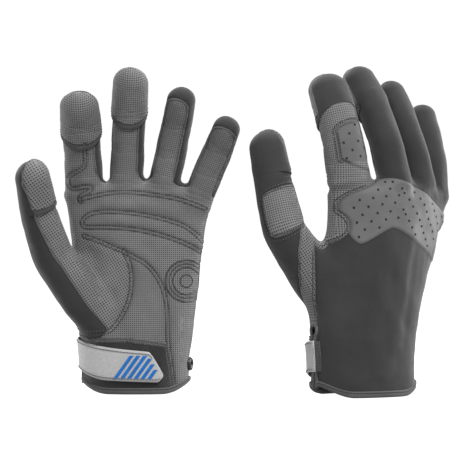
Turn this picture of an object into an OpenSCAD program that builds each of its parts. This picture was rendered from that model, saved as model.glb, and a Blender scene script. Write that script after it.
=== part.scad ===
// Pair of padded sailing gloves standing on their cuffs. The left glove shows its palm to the front,
// the right glove its back. Millimetres, Z up along the fingers, X to the right, front at -Y.
// Each glove is built in a hand frame: x towards the little finger, y out of the palm, z to the fingertips.

/* [Cuff and hand] */
// Width of the cuff across the wrist
wrist_w = 76.4; // [66:0.2:90]
// Depth of the cuff from palm to back
wrist_t = 52; // [36:1:64]
// Width of the hand across the knuckles
palm_w = 103; // [88:0.5:120]
// Depth of the hand at the knuckles
palm_t = 26; // [20:0.5:34]
// Height of the knuckle line above the cuff
palm_h = 142; // [120:1:160]
// How far the hem rises at the sides of the cuff
hem_rise = 8; // [0:0.5:12]
// Thickness of the shell fabric
shell_t = 1.8; // [1:0.1:3]

/* [Digits] */
// Length of the thumb from the wrist end of its gusset to the tip
thumb_l = 154; // [130:1:175]
// Length of the index finger from its crotch to the tip
index_l = 78; // [60:1:90]
// Length of the middle finger
middle_l = 92; // [72:1:104]
// Length of the ring finger
ring_l = 82; // [64:1:94]
// Length of the little finger
little_l = 70; // [54:1:82]
// Thickness of the finger fabric
finger_t = 1.2; // [0.8:0.1:2]

/* [Fold-back hoods] */
// Length of the index and middle hoods down the back of the finger
hood_back = 25; // [18:0.5:32]
// Length of the same hoods down the palm side
hood_front = 42; // [30:0.5:50]
// Length of the thumb hood
thumb_hood = 33; // [24:0.5:42]
// Hood fabric thickness
hood_t = 1.05; // [0.8:0.05:2]

/* [Wrist strap] */
// Strap height at its sewn end
strap_w = 28; // [20:0.5:36]
// Strap height near its pointed end
strap_tip_w = 20; // [14:0.5:30]
// Strap thickness
strap_t = 1.5; // [1:0.1:3]
// Number of printed stripes on the strap
stripe_count = 6; // [0:1:8]

/* [Snap] */
// Outside diameter of the wrist snap
snap_d = 10; // [8:0.5:14]
// Diameter of the stud and its socket
stud_d = 4; // [3:0.1:6]

/* [Pair] */
// Distance between the two cuff centres
pair_gap = 166; // [140:1:220]
// Turn of the right glove about its vertical axis
right_turn = 26; // [0:1:40]
// How far the left glove stands behind the right one
stagger = 32; // [0:1:60]

/* [Hidden] */
N = 24;
M = 16;
power = 2.3;
bend = 55;
thumb_bend = 40;
clear = 0.12;
eps = 0.02;
LEFT = 0;
RIGHT = 1;
cuff_z = 4.2;
slit_half = 3.2;
slit_top = 47;
keyhole_r = 5.2;

// ---- where each glove stands ----
pair_x = -6.9;
pair_y = 4.33;

module place(g) {
  if (g == LEFT)
    translate([-pair_gap / 2 - pair_x, pair_y + stagger / 2, 0])
      mirror([0, 1, 0])
        children();
  else
    translate([pair_gap / 2 - pair_x, pair_y - stagger / 2, 0])
      rotate([0, 0, right_turn])
        children();
}

// ---- the hand as a stack of rounded sections ----
function sm(t) = let (u = max(0, min(1, t))) u * u * (3 - 2 * u);
function sgnpow(v, e) = sign(v) * pow(abs(v), e);

// sideways start, sideways lean, tilt, arch and depth shift of each hand
hand_set = [[2.8, 1.2, -1, 6, -1], [-0.2, 24.2, 8, 11, -2]];

function hand_a(z) = wrist_w / 2 + (palm_w - wrist_w) / 2 * pow(max(0, z - 20) / (palm_h - 20), 1.2);
function hand_b(z) = wrist_t / 2 - (wrist_t - palm_t) / 2 * pow(max(0, z - 40) / (palm_h - 40), 1.2);
function lean_of(z) = sm((z - 35) / (palm_h - 32));
function hand_x(g, z) = hand_set[g][0] + hand_set[g][1] * lean_of(z);
function mid_y(g, s, z) = lean_of(z) * (hand_set[g][4] + hand_set[g][2] * s + hand_set[g][3] * s * s);
function top_z() = palm_h + 12;
function closing(z) = z < palm_h ? 1 : sqrt(max(0.004, 1 - pow((z - palm_h) / 12.2, 2)));
function rise_of(s) = hem_rise * pow(max(0, abs(s) - 0.5) / 0.5, 2);
function lifted(s, z) = z + rise_of(s) * max(0, 1 - max(0, z) / 40);

// a point of the hand section at height z, u degrees round from the little-finger side
function hand_at(g, z, u, off) = let (
    s = sgnpow(cos(u), 2 / power),
    q = sgnpow(sin(u), 2 / power),
    k = closing(z))
  [hand_x(g, z) + (hand_a(z) * (0.8 + 0.2 * k) + off) * s,
   mid_y(g, s, z) + (hand_b(z) * k + off) * q,
   lifted(s, z)];

function hand_ring(g, z, off) = [for (i = [0:N - 1]) hand_at(g, z, 360 * i / N, off)];

hand_levels = [0, 14, 26, 40, 56, 72, 88, 104, 120, 132, 142, 148, 151.5, 153.5];

module slab(a, b) {
  hull()
    polyhedron(
      points = concat(a, b),
      faces = [[for (i = [0:len(a) - 1]) i], [for (i = [0:len(b) - 1]) len(a) + i]]);
}

module chain(rings) {
  for (i = [0:len(rings) - 2])
    slab(rings[i], rings[i + 1]);
}

module hand_solid(g, off) {
  low = off < 0 ? -6 : cuff_z + 0.1;
  chain([for (i = [0:len(hand_levels) - 1])
    let (z = i == 0 ? low : hand_levels[i])
    hand_ring(g, z > palm_h ? z + off : z, off)]);
}

// everything on the palm side of the side seams
module palm_side(g, shift) {
  chain([for (z = concat([-10], hand_levels, [175]))
    let (a = hand_a(min(z, 160)), x = hand_x(g, z))
    concat(
      [for (s = [-1.5, -1, -0.6, -0.2, 0.2, 0.6, 1, 1.5]) [x + a * s, mid_y(g, s, z) + shift, z]],
      [[x - 1.5 * a, 90, z], [x + 1.5 * a, 90, z]])]);
}

// ---- digits ----
function rx(a) = [[1, 0, 0], [0, cos(a), -sin(a)], [0, sin(a), cos(a)]];
function ry(a) = [[cos(a), 0, sin(a)], [0, 1, 0], [-sin(a), 0, cos(a)]];
function rz(a) = [[cos(a), -sin(a), 0], [sin(a), cos(a), 0], [0, 0, 1]];

// bone lengths of each digit
thumb_bones = [thumb_l * 0.52, thumb_l * 0.234, thumb_l * 0.246];
index_bones = [index_l * 0.36, index_l * 0.31, index_l * 0.33];
middle_bones = [middle_l * 0.348, middle_l * 0.304, middle_l * 0.348];
ring_bones = [ring_l * 0.354, ring_l * 0.305, ring_l * 0.341];
little_bones = [little_l * 0.357, little_l * 0.3, little_l * 0.343];

// half width and half depth along each digit
thumb_w = [[0, 14], [40, 18], [80, 16], [118, 14.3], [146, 12.8], [158, 11]];
thumb_d = [[0, 13], [40, 15.5], [80, 14.5], [118, 12.5], [146, 11], [158, 9.5]];
index_w = [[0, 14.2], [28, 13.4], [52, 13.6], [80, 12.2]];
index_w2 = [[0, 16.6], [14, 15.8], [28, 15.2], [52, 14.8], [80, 13.4]];
index_d = [[0, 12], [28, 11.8], [52, 11.6], [80, 10]];
middle_wd = [[0, 12.5], [32, 12], [60, 12], [94, 11]];
middle_d = [[0, 12], [32, 11.8], [60, 11.2], [94, 9.8]];
ring_wd = [[0, 11.6], [29, 11.2], [54, 11], [84, 10]];
ring_d = [[0, 11.4], [29, 11], [54, 10.5], [84, 9.2]];
little_wd = [[0, 11], [25, 11], [46, 10.5], [72, 9.3]];
little_d = [[0, 10.5], [25, 10.3], [46, 9.8], [72, 8.4]];

// base point, lean, pitch, roll, two curls, bones, half widths, half depths, tip radius
THUMB = [
  [[-13, 6, 36], -34, 17, -65, [18, 8], thumb_bones, thumb_w, thumb_d, 12],
  [[-12, 6, 50], -33.5, 6, -70, [27, 4], thumb_bones, thumb_w, thumb_d, 12]];
INDEX = [
  [[-34.2, 2, 144], -2.6, 6, 0, [14, 16], index_bones, index_w, index_d, 11],
  [[-12.6, -2, 153], -8.3, 4, 0, [8, 10], index_bones, index_w2, index_d, 11]];
MIDDLE = [
  [[-5, -1, 146], 3.3, 4, 0, [12, 12], middle_bones, middle_wd, middle_d, 11],
  [[24.6, -3, 151], -11.8, 6, 0, [12, 16], middle_bones, middle_wd, middle_d, 11]];
RING = [
  [[21.8, 0, 145.5], 12.6, 6, 0, [16, 16], ring_bones, ring_wd, ring_d, 10],
  [[49.2, 4, 149], -10.8, 6, 0, [10, 12], ring_bones, ring_wd, ring_d, 10]];
LITTLE = [
  [[46.2, 4, 137.5], 23, 6, 0, [14, 14], little_bones, little_wd, little_d, 9],
  [[67.8, 14, 141.5], -3.2, 4, 0, [8, 10], little_bones, little_wd, little_d, 9]];

function frame0(D) = ry(D[1]) * rx(-D[2]) * rz(D[3]);
function frame1(D) = frame0(D) * rx(-D[4][0]);
function frame2(D) = frame1(D) * rx(-D[4][1]);
function up(R) = [R[0][2], R[1][2], R[2][2]];
function joint1(D) = D[0] + up(frame0(D)) * D[5][0];
function joint2(D) = joint1(D) + up(frame1(D)) * D[5][1];
function reach(D) = D[5][0] + D[5][1] + D[5][2];
function knee(D) = D[5][0];

function frame_at(D, s) =
  s < D[5][0] - 0.01 ? frame0(D)
  : s < D[5][0] + 0.01 ? frame0(D) * rx(-D[4][0] / 2)
  : s < D[5][0] + D[5][1] - 0.01 ? frame1(D)
  : s < D[5][0] + D[5][1] + 0.01 ? frame1(D) * rx(-D[4][1] / 2)
  : frame2(D);
function centre_at(D, s) =
  s < D[5][0] ? D[0] + up(frame0(D)) * s
  : s < D[5][0] + D[5][1] ? joint1(D) + up(frame1(D)) * (s - D[5][0])
  : joint2(D) + up(frame2(D)) * (s - D[5][0] - D[5][1]);

function digit_ring(D, s, off, k) = let (
    R = frame_at(D, s),
    c = centre_at(D, s),
    w = (lookup(s, D[6]) + off) * k,
    t = (lookup(s, D[7]) + off) * k)
  [for (i = [0:M - 1]) c + R * [w * cos(360 * i / M), t * sin(360 * i / M), 0]];

function digit_stations(D, off) = let (
    T = reach(D) + off,
    r = D[8] + off)
  concat(
    [for (s = [-14, 0, D[5][0] * 0.5, D[5][0], D[5][0] + D[5][1] * 0.5, D[5][0] + D[5][1]]) [s, 1]],
    [for (a = [0, 32, 56, 74, 87]) [T - r + r * sin(a), cos(a)]]);

module digit_solid(D, off) {
  st = digit_stations(D, off);
  chain([for (p = st) digit_ring(D, p[0], off, p[1])]);
}

function matrix(R, p) = [
  [R[0][0], R[0][1], R[0][2], p[0]],
  [R[1][0], R[1][1], R[1][2], p[1]],
  [R[2][0], R[2][1], R[2][2], p[2]],
  [0, 0, 0, 1]];

module at_station(D, s)
  multmatrix(matrix(frame_at(D, s), centre_at(D, s)))
    children();

// everything above a plane, and everything below it
module above() translate([-60, -60, 0]) cube([120, 120, 220]);
module below() translate([-60, -60, -220]) cube([120, 120, 220]);

module digit_shell(D, t) {
  difference() {
    digit_solid(D, 0);
    digit_solid(D, -t);
  }
}

// the part of a digit below its flex line, with room for the palm side to close
module digit_base(g, D, max_bend) {
  difference() {
    digit_shell(D, finger_t);
    hand_solid(g, clear);
    at_station(D, knee(D)) {
      translate([0, 0, -clear]) above();
      rotate([-max_bend / 2 - 1, 0, 0]) above();
    }
    children();
  }
}

// the part beyond the flex line, down to an open end or a closed tip
module digit_tube(D, max_bend, end) {
  difference() {
    digit_shell(D, finger_t);
    at_station(D, knee(D)) {
      translate([0, 0, clear]) below();
      rotate([max_bend / 2 + 1, 0, 0]) below();
    }
    if (end > 0)
      at_station(D, end) above();
  }
}

// a hood over the fingertip; square across the back, swept down on the palm side
module digit_cap(D, back, front) {
  s = reach(D) - back;
  intersection() {
    difference() {
      digit_solid(D, 0.35 + hood_t);
      digit_solid(D, 0.35);
    }
    at_station(D, s) {
      above();
      rotate([-atan2(front - back, lookup(s, D[7]) + 1.4), 0, 0]) above();
    }
    at_station(D, reach(D) - front - 1) above();
  }
}

// ---- flat outlines laid on the hand ----
module outline(g, pts, high) {
  span = high ? [0, 90] : [-90, 0];
  translate([0, span[1] + (high ? 0 : 10), 0])
    rotate([90, 0, 0])
      linear_extrude(high ? 90 : 100)
        polygon([for (p = pts) [hand_x(g, p[1]) + p[0] * hand_a(min(p[1], 150)), p[1]]]);
}

module hand_layer(g, lo, hi) {
  difference() {
    hand_solid(g, hi);
    hand_solid(g, lo);
  }
}

module all_digits(g, off) {
  digit_solid(THUMB[g], off);
  digit_solid(INDEX[g], off);
  digit_solid(MIDDLE[g], off);
  digit_solid(RING[g], off);
  digit_solid(LITTLE[g], off);
}

module slit(g) {
  x = hand_x(g, 20) - hand_a(30);
  translate([x - 12, -slit_half, -8])
    cube([24, 2 * slit_half, slit_top + 8]);
  translate([x - 14, 0, slit_top])
    rotate([0, 90, 0])
      cylinder(h = 26, r = keyhole_r, $fn = 20);
}

knuckle_pts = [[-0.96, 141], [-0.94, 128], [-0.62, 107], [-0.13, 119.4], [0.83, 102.7],
  [0.99, 126], [0.97, 141], [0.6, 156], [-0.96, 156]];
web_pts = [[-1.25, 148], [-0.9, 144], [-0.68, 130], [-0.62, 120], [-0.7, 111], [-0.86, 107],
  [-1.25, 108]];
bar_pts = [[-0.7, 128.5], [-0.33, 130.7], [0.15, 127.8], [0.6, 122.8], [0.9, 113.5],
  [0.9, 103.5], [0.66, 108.4], [0.15, 117], [-0.33, 119.9], [-0.72, 119.5], [-0.78, 124]];
heel_pts = [[-0.6, 110.5], [-0.18, 100.4], [0.16, 93.2], [0.4, 81], [0.5, 64.4], [0.52, 41.5],
  [-0.44, 41.5], [-0.3, 56.5], [-0.13, 68.8], [-0.1, 83.2], [-0.22, 96]];
loop_pts = [[-0.72, 38.5], [0.48, 35.2], [0.62, 11], [-0.68, 11]];

module palm_panel(g) {
  color("#6a6a6a")
    difference() {
      intersection() {
        hand_layer(g, -shell_t, 0);
        palm_side(g, eps);
      }
      all_digits(g, -finger_t);
      slit(g);
    }
}

module back_panel(g) {
  color("#454545")
    difference() {
      hand_layer(g, -shell_t, 0);
      palm_side(g, -eps);
      all_digits(g, -finger_t);
      slit(g);
    }
}

module palm_bar(g) {
  color("#707070")
    difference() {
      intersection() {
        hand_layer(g, 0.05, 1.2);
        outline(g, bar_pts, true);
        palm_side(g, 1.5);
      }
      all_digits(g, clear);
    }
}

module heel_patch(g) {
  color("#707070")
    difference() {
      intersection() {
        hand_layer(g, 0.05, 1);
        outline(g, heel_pts, true);
      }
      all_digits(g, clear);
    }
}

module grip_badge(g) {
  badge_x = hand_x(g, 80) + 0.77 * hand_a(80);
  color("#5a5a5a")
    intersection() {
      hand_layer(g, 0.05, 0.8);
      translate([badge_x, 70, 81])
        rotate([90, 0, 0])
          difference() {
            cylinder(h = 66, r = 8.6, $fn = 28);
            translate([0, 0, -1]) cylinder(h = 70, r = 5.8, $fn = 28);
          }
    }
}

module knuckle_panel(g) {
  color("#6e6e6e")
    difference() {
      intersection() {
        hand_layer(g, 0.05, 1);
        outline(g, knuckle_pts, false);
      }
      palm_side(g, -1);
      all_digits(g, clear);
      outline(g, [for (p = web_pts) [p[0] + 0.01, p[1]]], false);
    }
}

module web_patch(g) {
  color("#757575")
    difference() {
      intersection() {
        hand_layer(g, 0.05, 1.3);
        outline(g, web_pts, false);
      }
      palm_side(g, -0.4);
      all_digits(g, clear);
    }
}

module loop_patch(g) {
  color("#3c3c3c")
    difference() {
      intersection() {
        hand_layer(g, 0.05, 1);
        outline(g, loop_pts, true);
      }
      all_digits(g, clear);
    }
}

// ---- swept strips: a closed section carried from station to station ----
module strip(rows) {
  k = len(rows[0]);
  n = len(rows);
  flat = [for (r = rows, p = r) p];
  side = [for (i = [0:n - 2], j = [0:k - 1])
    let (a = i * k + j, b = i * k + (j + 1) % k)
    each [[a, b, b + k], [a, b + k, a + k]]];
  ends = concat(
    [for (j = [1:k - 2]) [0, j + 1, j]],
    [for (j = [1:k - 2]) [(n - 1) * k, (n - 1) * k + j, (n - 1) * k + j + 1]]);
  polyhedron(points = flat, faces = concat(side, ends));
}

// angle round the cuff at which the slit edge lies, measured from the thumb side
slit_u = 4.6;

// inner top corner of the binding, lowered to stay under the hem of the panels
function hem_under(g, u, off) = let (
    p = hand_at(g, cuff_z, u, off),
    s = (p[0] - hand_x(g, cuff_z)) / hand_a(cuff_z))
  [p[0], p[1], lifted(s, cuff_z)];

module cuff_binding(g) {
  color("#5f5f5f")
    strip([for (i = [0:44])
      let (u = -180 + slit_u + (360 - 2 * slit_u) * i / 44)
      [hand_at(g, 0, u, -2.6), hand_at(g, 0, u, 1.1), hand_at(g, cuff_z, u, 1.1), hem_under(g, u, -2.6)]]);
}

// a point on the thumb-side edge of the cuff, y from the seam and height z
function edge_at(g, y, z, off) = let (
    a = hand_a(z) + off,
    b = hand_b(z) + off,
    s = pow(max(0, 1 - pow(abs(y) / b, power)), 1 / power))
  [hand_x(g, z) - a * s, y + mid_y(g, -1, z), z];

slit_path = concat(
  [for (z = [14, 20, 28, 36, slit_top - 5.2]) [-1.65, z]],
  [for (a = [-68:17:248]) [-3.5 * cos(a + 0), slit_top + 3.5 * sin(a)]],
  [for (z = [slit_top - 5.2, 36, 28, 20, 14]) [1.65, z]]);

module slit_binding(g) {
  n = len(slit_path);
  color("#5f5f5f")
    strip([for (i = [0:n - 1])
      let (
        p = slit_path[i],
        q0 = slit_path[max(0, i - 1)],
        q1 = slit_path[min(n - 1, i + 1)],
        d = (q1 - q0) / norm(q1 - q0),
        m = [-d[1], d[0]] * 1.3,
        a = p - m,
        b = p + m)
      [edge_at(g, a[0], a[1], -2.2), edge_at(g, b[0], b[1], -2.2),
       edge_at(g, b[0], b[1], 0.8), edge_at(g, a[0], a[1], 0.8)]]);
}

// snap on the little-finger side: a socket on the left glove, a stud on the right
module snap(g) {
  color("#161616")
    translate([hand_x(g, 20) + hand_a(20) + 0.4, 0, 20.5])
      rotate([0, 90, 0])
        if (g == LEFT)
          rotate_extrude($fn = 48)
            polygon([[stud_d / 2, 0], [snap_d / 2, 0], [snap_d / 2, 1.4], [snap_d / 2 - 0.8, 2.4],
              [stud_d / 2, 2.4]]);
        else
          rotate_extrude($fn = 48)
            polygon([[0, 0], [snap_d / 2, 0], [snap_d / 2, 1], [stud_d / 2 + 0.8, 1.4],
              [stud_d / 2 - 0.1, 1.4], [stud_d / 2 - 0.1, 3.2], [0, 3.2]]);
}

// ---- digits as fabric ----
module thumb_base(g) {
  color("#4a4a4a")
    digit_base(g, THUMB[g], thumb_bend)
      digit_solid(INDEX[g], clear);
}

module thumb_tube(g) {
  color("#4a4a4a")
    digit_tube(THUMB[g], thumb_bend, reach(THUMB[g]) - thumb_hood + 2.5);
}

module thumb_cap(g) {
  color("#565656")
    digit_cap(THUMB[g], thumb_hood, thumb_hood + 2);
}

module thumb_patch(g) {
  D = THUMB[g];
  color("#757575")
    intersection() {
      difference() {
        digit_solid(D, 1);
        digit_solid(D, 0.1);
      }
      at_station(D, knee(D))
        translate([-11, -40, 3])
          cube([22, 40, 26]);
    }
}

module index_base(g) {
  color("#6a6a6a")
    digit_base(g, INDEX[g], bend)
      digit_solid(MIDDLE[g], clear);
}

module index_tube(g) {
  color("#6a6a6a")
    digit_tube(INDEX[g], bend, reach(INDEX[g]) - hood_back + 2.5);
}

module index_cap(g) {
  color("#5c5c5c")
    digit_cap(INDEX[g], hood_back, hood_front);
}

module index_patch(g) {
  D = INDEX[g];
  color("#6e6e6e")
    difference() {
      intersection() {
        digit_solid(D, 1);
        at_station(D, 8)
          translate([-8, -40, 0])
            cube([24, 40, 33]);
      }
      hand_solid(g, 1.2);
      digit_solid(MIDDLE[g], clear);
      digit_solid(D, 0.1);
      at_station(D, knee(D)) translate([0, 0, -clear]) above();
    }
}

module middle_base(g) {
  color("#4a4a4a")
    digit_base(g, MIDDLE[g], bend)
      digit_solid(RING[g], clear);
}

module middle_tube(g) {
  color("#4a4a4a")
    difference() {
      digit_tube(MIDDLE[g], bend, reach(MIDDLE[g]) - hood_back + 2.5);
      digit_solid(RING[g], clear);
    }
}

module middle_cap(g) {
  color("#5c5c5c")
    digit_cap(MIDDLE[g], hood_back, hood_front + 2);
}

module ring_base(g) {
  color("#4a4a4a")
    digit_base(g, RING[g], bend)
      digit_solid(LITTLE[g], clear);
}

module ring_tube(g) {
  color("#4a4a4a")
    difference() {
      digit_tube(RING[g], bend, 0);
      digit_solid(LITTLE[g], clear);
    }
}

module little_base(g) {
  color("#4a4a4a")
    digit_base(g, LITTLE[g], bend);
}

module little_tube(g) {
  color("#4a4a4a")
    digit_tube(LITTLE[g], bend, 0);
}

// ---- wrist strap ----
strap_u0 = 186;
strap_u1 = 63;
strap_in = 1.95;

function strap_low(f) = 12 - 3.4 * f;
function strap_high(f) = 12 + strap_w - (strap_w - strap_tip_w + 3.4) * f;
function strap_row(g, u, zl, zh, lo, hi) = [
  hand_at(g, zl, u, lo), hand_at(g, zl, u, hi), hand_at(g, zh, u, hi), hand_at(g, zh, u, lo)];

module strap(g) {
  n = 20;
  color("#a8a8a8")
    strip([for (i = [0:n])
      let (
        f = i / n,
        e = max(0, f - 0.86) / 0.14,
        u = strap_u0 + (strap_u1 - strap_u0) * f)
      strap_row(g, u, strap_low(f) + 5 * e * e, strap_high(f) - 9 * e * e, strap_in, strap_in + strap_t)]);
}

module hook_patch(g) {
  n = 8;
  color("#2a2a2a")
    strip([for (i = [0:n])
      let (
        f = 0.56 + 0.36 * i / n,
        u = strap_u0 + (strap_u1 - strap_u0) * f)
      strap_row(g, u, strap_low(f) + 2.2, strap_high(f) - 2.6, 1.12, strap_in - 0.05)]);
}

module strap_stripes(g) {
  color("#0a6ebd")
    for (k = [0:stripe_count - 1]) {
      rows = 5;
      strip([for (i = [0:rows])
        let (
          h = i / rows,
          f = 0.5 + 0.061 * k + 0.13 * h,
          u = strap_u0 + (strap_u1 - strap_u0) * f,
          v = strap_u0 + (strap_u1 - strap_u0) * (f + 0.032),
          z = strap_low(0.75) + 2.4 + h * (14.4 - 1.2 * max(0, k - 3)),
          lo = strap_in + strap_t + 0.1,
          hi = strap_in + strap_t + 0.35)
        [hand_at(g, z, u, lo), hand_at(g, z, v, lo), hand_at(g, z, v, hi), hand_at(g, z, u, hi)]]);
    }
}

place(LEFT) palm_panel(LEFT);  // left_palm_panel
place(LEFT) back_panel(LEFT);  // left_back_panel
place(LEFT) palm_bar(LEFT);  // left_palm_bar
place(LEFT) heel_patch(LEFT);  // left_heel_patch
place(LEFT) grip_badge(LEFT);  // left_grip_badge
place(LEFT) knuckle_panel(LEFT);  // left_knuckle_panel
place(LEFT) web_patch(LEFT);  // left_web_patch
place(LEFT) loop_patch(LEFT);  // left_loop_patch
place(LEFT) cuff_binding(LEFT);  // left_cuff_binding
place(LEFT) slit_binding(LEFT);  // left_slit_binding
place(LEFT) snap(LEFT);  // left_snap
place(LEFT) thumb_base(LEFT);  // left_thumb_base
place(LEFT) thumb_tube(LEFT);  // left_thumb_tube
place(LEFT) thumb_cap(LEFT);  // left_thumb_cap
place(LEFT) thumb_patch(LEFT);  // left_thumb_patch
place(LEFT) index_base(LEFT);  // left_index_base
place(LEFT) index_tube(LEFT);  // left_index_tube
place(LEFT) index_cap(LEFT);  // left_index_cap
place(LEFT) index_patch(LEFT);  // left_index_patch
place(LEFT) middle_base(LEFT);  // left_middle_base
place(LEFT) middle_tube(LEFT);  // left_middle_tube
place(LEFT) middle_cap(LEFT);  // left_middle_cap
place(LEFT) ring_base(LEFT);  // left_ring_base
place(LEFT) ring_tube(LEFT);  // left_ring_tube
place(LEFT) little_base(LEFT);  // left_little_base
place(LEFT) little_tube(LEFT);  // left_little_tube
place(LEFT) strap(LEFT);  // left_strap
place(LEFT) hook_patch(LEFT);  // left_hook_patch
place(LEFT) strap_stripes(LEFT);  // left_strap_stripes
place(RIGHT) palm_panel(RIGHT);  // right_palm_panel
place(RIGHT) back_panel(RIGHT);  // right_back_panel
place(RIGHT) palm_bar(RIGHT);  // right_palm_bar
place(RIGHT) heel_patch(RIGHT);  // right_heel_patch
place(RIGHT) grip_badge(RIGHT);  // right_grip_badge
place(RIGHT) knuckle_panel(RIGHT);  // right_knuckle_panel
place(RIGHT) web_patch(RIGHT);  // right_web_patch
place(RIGHT) loop_patch(RIGHT);  // right_loop_patch
place(RIGHT) cuff_binding(RIGHT);  // right_cuff_binding
place(RIGHT) slit_binding(RIGHT);  // right_slit_binding
place(RIGHT) snap(RIGHT);  // right_snap
place(RIGHT) thumb_base(RIGHT);  // right_thumb_base
place(RIGHT) thumb_tube(RIGHT);  // right_thumb_tube
place(RIGHT) thumb_cap(RIGHT);  // right_thumb_cap
place(RIGHT) thumb_patch(RIGHT);  // right_thumb_patch
place(RIGHT) index_base(RIGHT);  // right_index_base
place(RIGHT) index_tube(RIGHT);  // right_index_tube
place(RIGHT) index_cap(RIGHT);  // right_index_cap
place(RIGHT) index_patch(RIGHT);  // right_index_patch
place(RIGHT) middle_base(RIGHT);  // right_middle_base
place(RIGHT) middle_tube(RIGHT);  // right_middle_tube
place(RIGHT) middle_cap(RIGHT);  // right_middle_cap
place(RIGHT) ring_base(RIGHT);  // right_ring_base
place(RIGHT) ring_tube(RIGHT);  // right_ring_tube
place(RIGHT) little_base(RIGHT);  // right_little_base
place(RIGHT) little_tube(RIGHT);  // right_little_tube
place(RIGHT) strap(RIGHT);  // right_strap
place(RIGHT) hook_patch(RIGHT);  // right_hook_patch
place(RIGHT) strap_stripes(RIGHT);  // right_strap_stripes
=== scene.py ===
import bpy
import numpy as np
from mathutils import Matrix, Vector
from mathutils.kdtree import KDTree


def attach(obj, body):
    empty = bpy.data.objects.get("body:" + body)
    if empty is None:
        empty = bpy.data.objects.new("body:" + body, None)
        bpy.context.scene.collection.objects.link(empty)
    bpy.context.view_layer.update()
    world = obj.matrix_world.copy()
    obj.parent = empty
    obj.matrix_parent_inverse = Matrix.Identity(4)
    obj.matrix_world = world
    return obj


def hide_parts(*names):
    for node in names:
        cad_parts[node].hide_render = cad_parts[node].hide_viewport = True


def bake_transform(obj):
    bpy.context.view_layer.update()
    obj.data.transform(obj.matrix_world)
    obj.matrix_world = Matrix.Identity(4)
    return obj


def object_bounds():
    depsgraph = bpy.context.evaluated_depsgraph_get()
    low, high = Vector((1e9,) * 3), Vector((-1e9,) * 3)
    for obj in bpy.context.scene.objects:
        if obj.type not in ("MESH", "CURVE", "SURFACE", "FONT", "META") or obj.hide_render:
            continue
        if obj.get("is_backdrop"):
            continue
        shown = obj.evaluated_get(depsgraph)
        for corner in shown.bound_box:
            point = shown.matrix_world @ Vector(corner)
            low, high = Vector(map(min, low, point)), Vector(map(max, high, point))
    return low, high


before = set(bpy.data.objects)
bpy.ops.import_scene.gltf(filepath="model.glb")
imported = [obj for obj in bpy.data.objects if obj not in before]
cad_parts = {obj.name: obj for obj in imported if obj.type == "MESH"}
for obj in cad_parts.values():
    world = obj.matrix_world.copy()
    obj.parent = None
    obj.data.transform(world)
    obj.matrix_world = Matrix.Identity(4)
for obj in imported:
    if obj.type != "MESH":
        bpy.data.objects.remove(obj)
cad_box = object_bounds()


# ---------------------------------------------------------------- the two hands, in millimetres
# Hand frame: x towards the little finger, y out of the palm, z to the fingertips.
SIDES = ("left", "right")
CENTRE = ((-76.1, 20.33), (89.9, -11.67))
TURN = np.radians(26.0)
POWER = 2.3
PALM_H = 142.0
HAND = ((2.8, 1.2, -1, 6, -1), (-0.2, 24.2, 8, 11, -2))


def rx(a):
    c, s = np.cos(np.radians(a)), np.sin(np.radians(a))
    return np.array([[1, 0, 0], [0, c, -s], [0, s, c]])


def ry(a):
    c, s = np.cos(np.radians(a)), np.sin(np.radians(a))
    return np.array([[c, 0, s], [0, 1, 0], [-s, 0, c]])


def rz(a):
    c, s = np.cos(np.radians(a)), np.sin(np.radians(a))
    return np.array([[c, -s, 0], [s, c, 0], [0, 0, 1]])


def to_world(g, p, direction=False):
    """Hand frame in millimetres to the row frame in metres."""
    p = np.asarray(p, float)
    if g == 0:
        q = p * (1, -1, 1)
    else:
        q = p @ rz(26.0).T
    if direction:
        return q
    return (q + (CENTRE[g][0], CENTRE[g][1], 0)) / 1000


def smooth(t):
    u = np.clip(t, 0, 1)
    return u * u * (3 - 2 * u)


def hand_a(z):
    return 38.2 + 13.3 * (np.maximum(0, z - 20) / 122) ** 1.2


def hand_b(z):
    return 26 - 13 * (np.maximum(0, z - 40) / 102) ** 1.2


def hand_x(g, z):
    return HAND[g][0] + HAND[g][1] * smooth((z - 35) / 110)


def hand_coords(g, p):
    """Share of the half width, distance from the middle sheet, height, half width and half depth."""
    z = p[:, 2]
    h, lean = HAND[g], smooth((z - 35) / 110)
    a, b = hand_a(z), hand_b(z)
    s = (p[:, 0] - hand_x(g, z)) / a
    c = np.clip(s, -1.4, 1.4)
    y = p[:, 1] - lean * (h[4] + h[2] * c + h[3] * c * c)
    return s, y, z, a, b


def hand_at(g, z, u, off=0.0):
    """Points of the hand section at height z, u degrees round from the little-finger side."""
    z, u = np.broadcast_arrays(np.asarray(z, float), np.asarray(u, float))
    c, d = np.cos(np.radians(u)), np.sin(np.radians(u))
    s, q = np.sign(c) * abs(c) ** (2 / POWER), np.sign(d) * abs(d) ** (2 / POWER)
    h, lean = HAND[g], smooth((z - 35) / 110)
    x = hand_x(g, z) + (hand_a(z) + off) * s
    y = lean * (h[4] + h[2] * s + h[3] * s * s) + (hand_b(z) + off) * q
    return np.stack([x, y, z + hem_rise(s) * np.maximum(0, 1 - np.maximum(0, z) / 40)], -1)


def hem_rise(s):
    return 8 * (np.maximum(0, abs(s) - 0.5) / 0.5) ** 2


def hand_field(g, p):
    s, y, z, a, b = hand_coords(g, p)
    top = np.maximum(0, z - PALM_H) / 12.2
    e = (abs(s) ** POWER + abs(y / b) ** POWER) ** (1 / POWER)
    e = np.sqrt(e * e + top * top)
    r = np.sqrt((s * a) ** 2 + y * y + (top * 12.2) ** 2)
    return r * (1 - 1 / np.maximum(e, 0.05))


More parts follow.
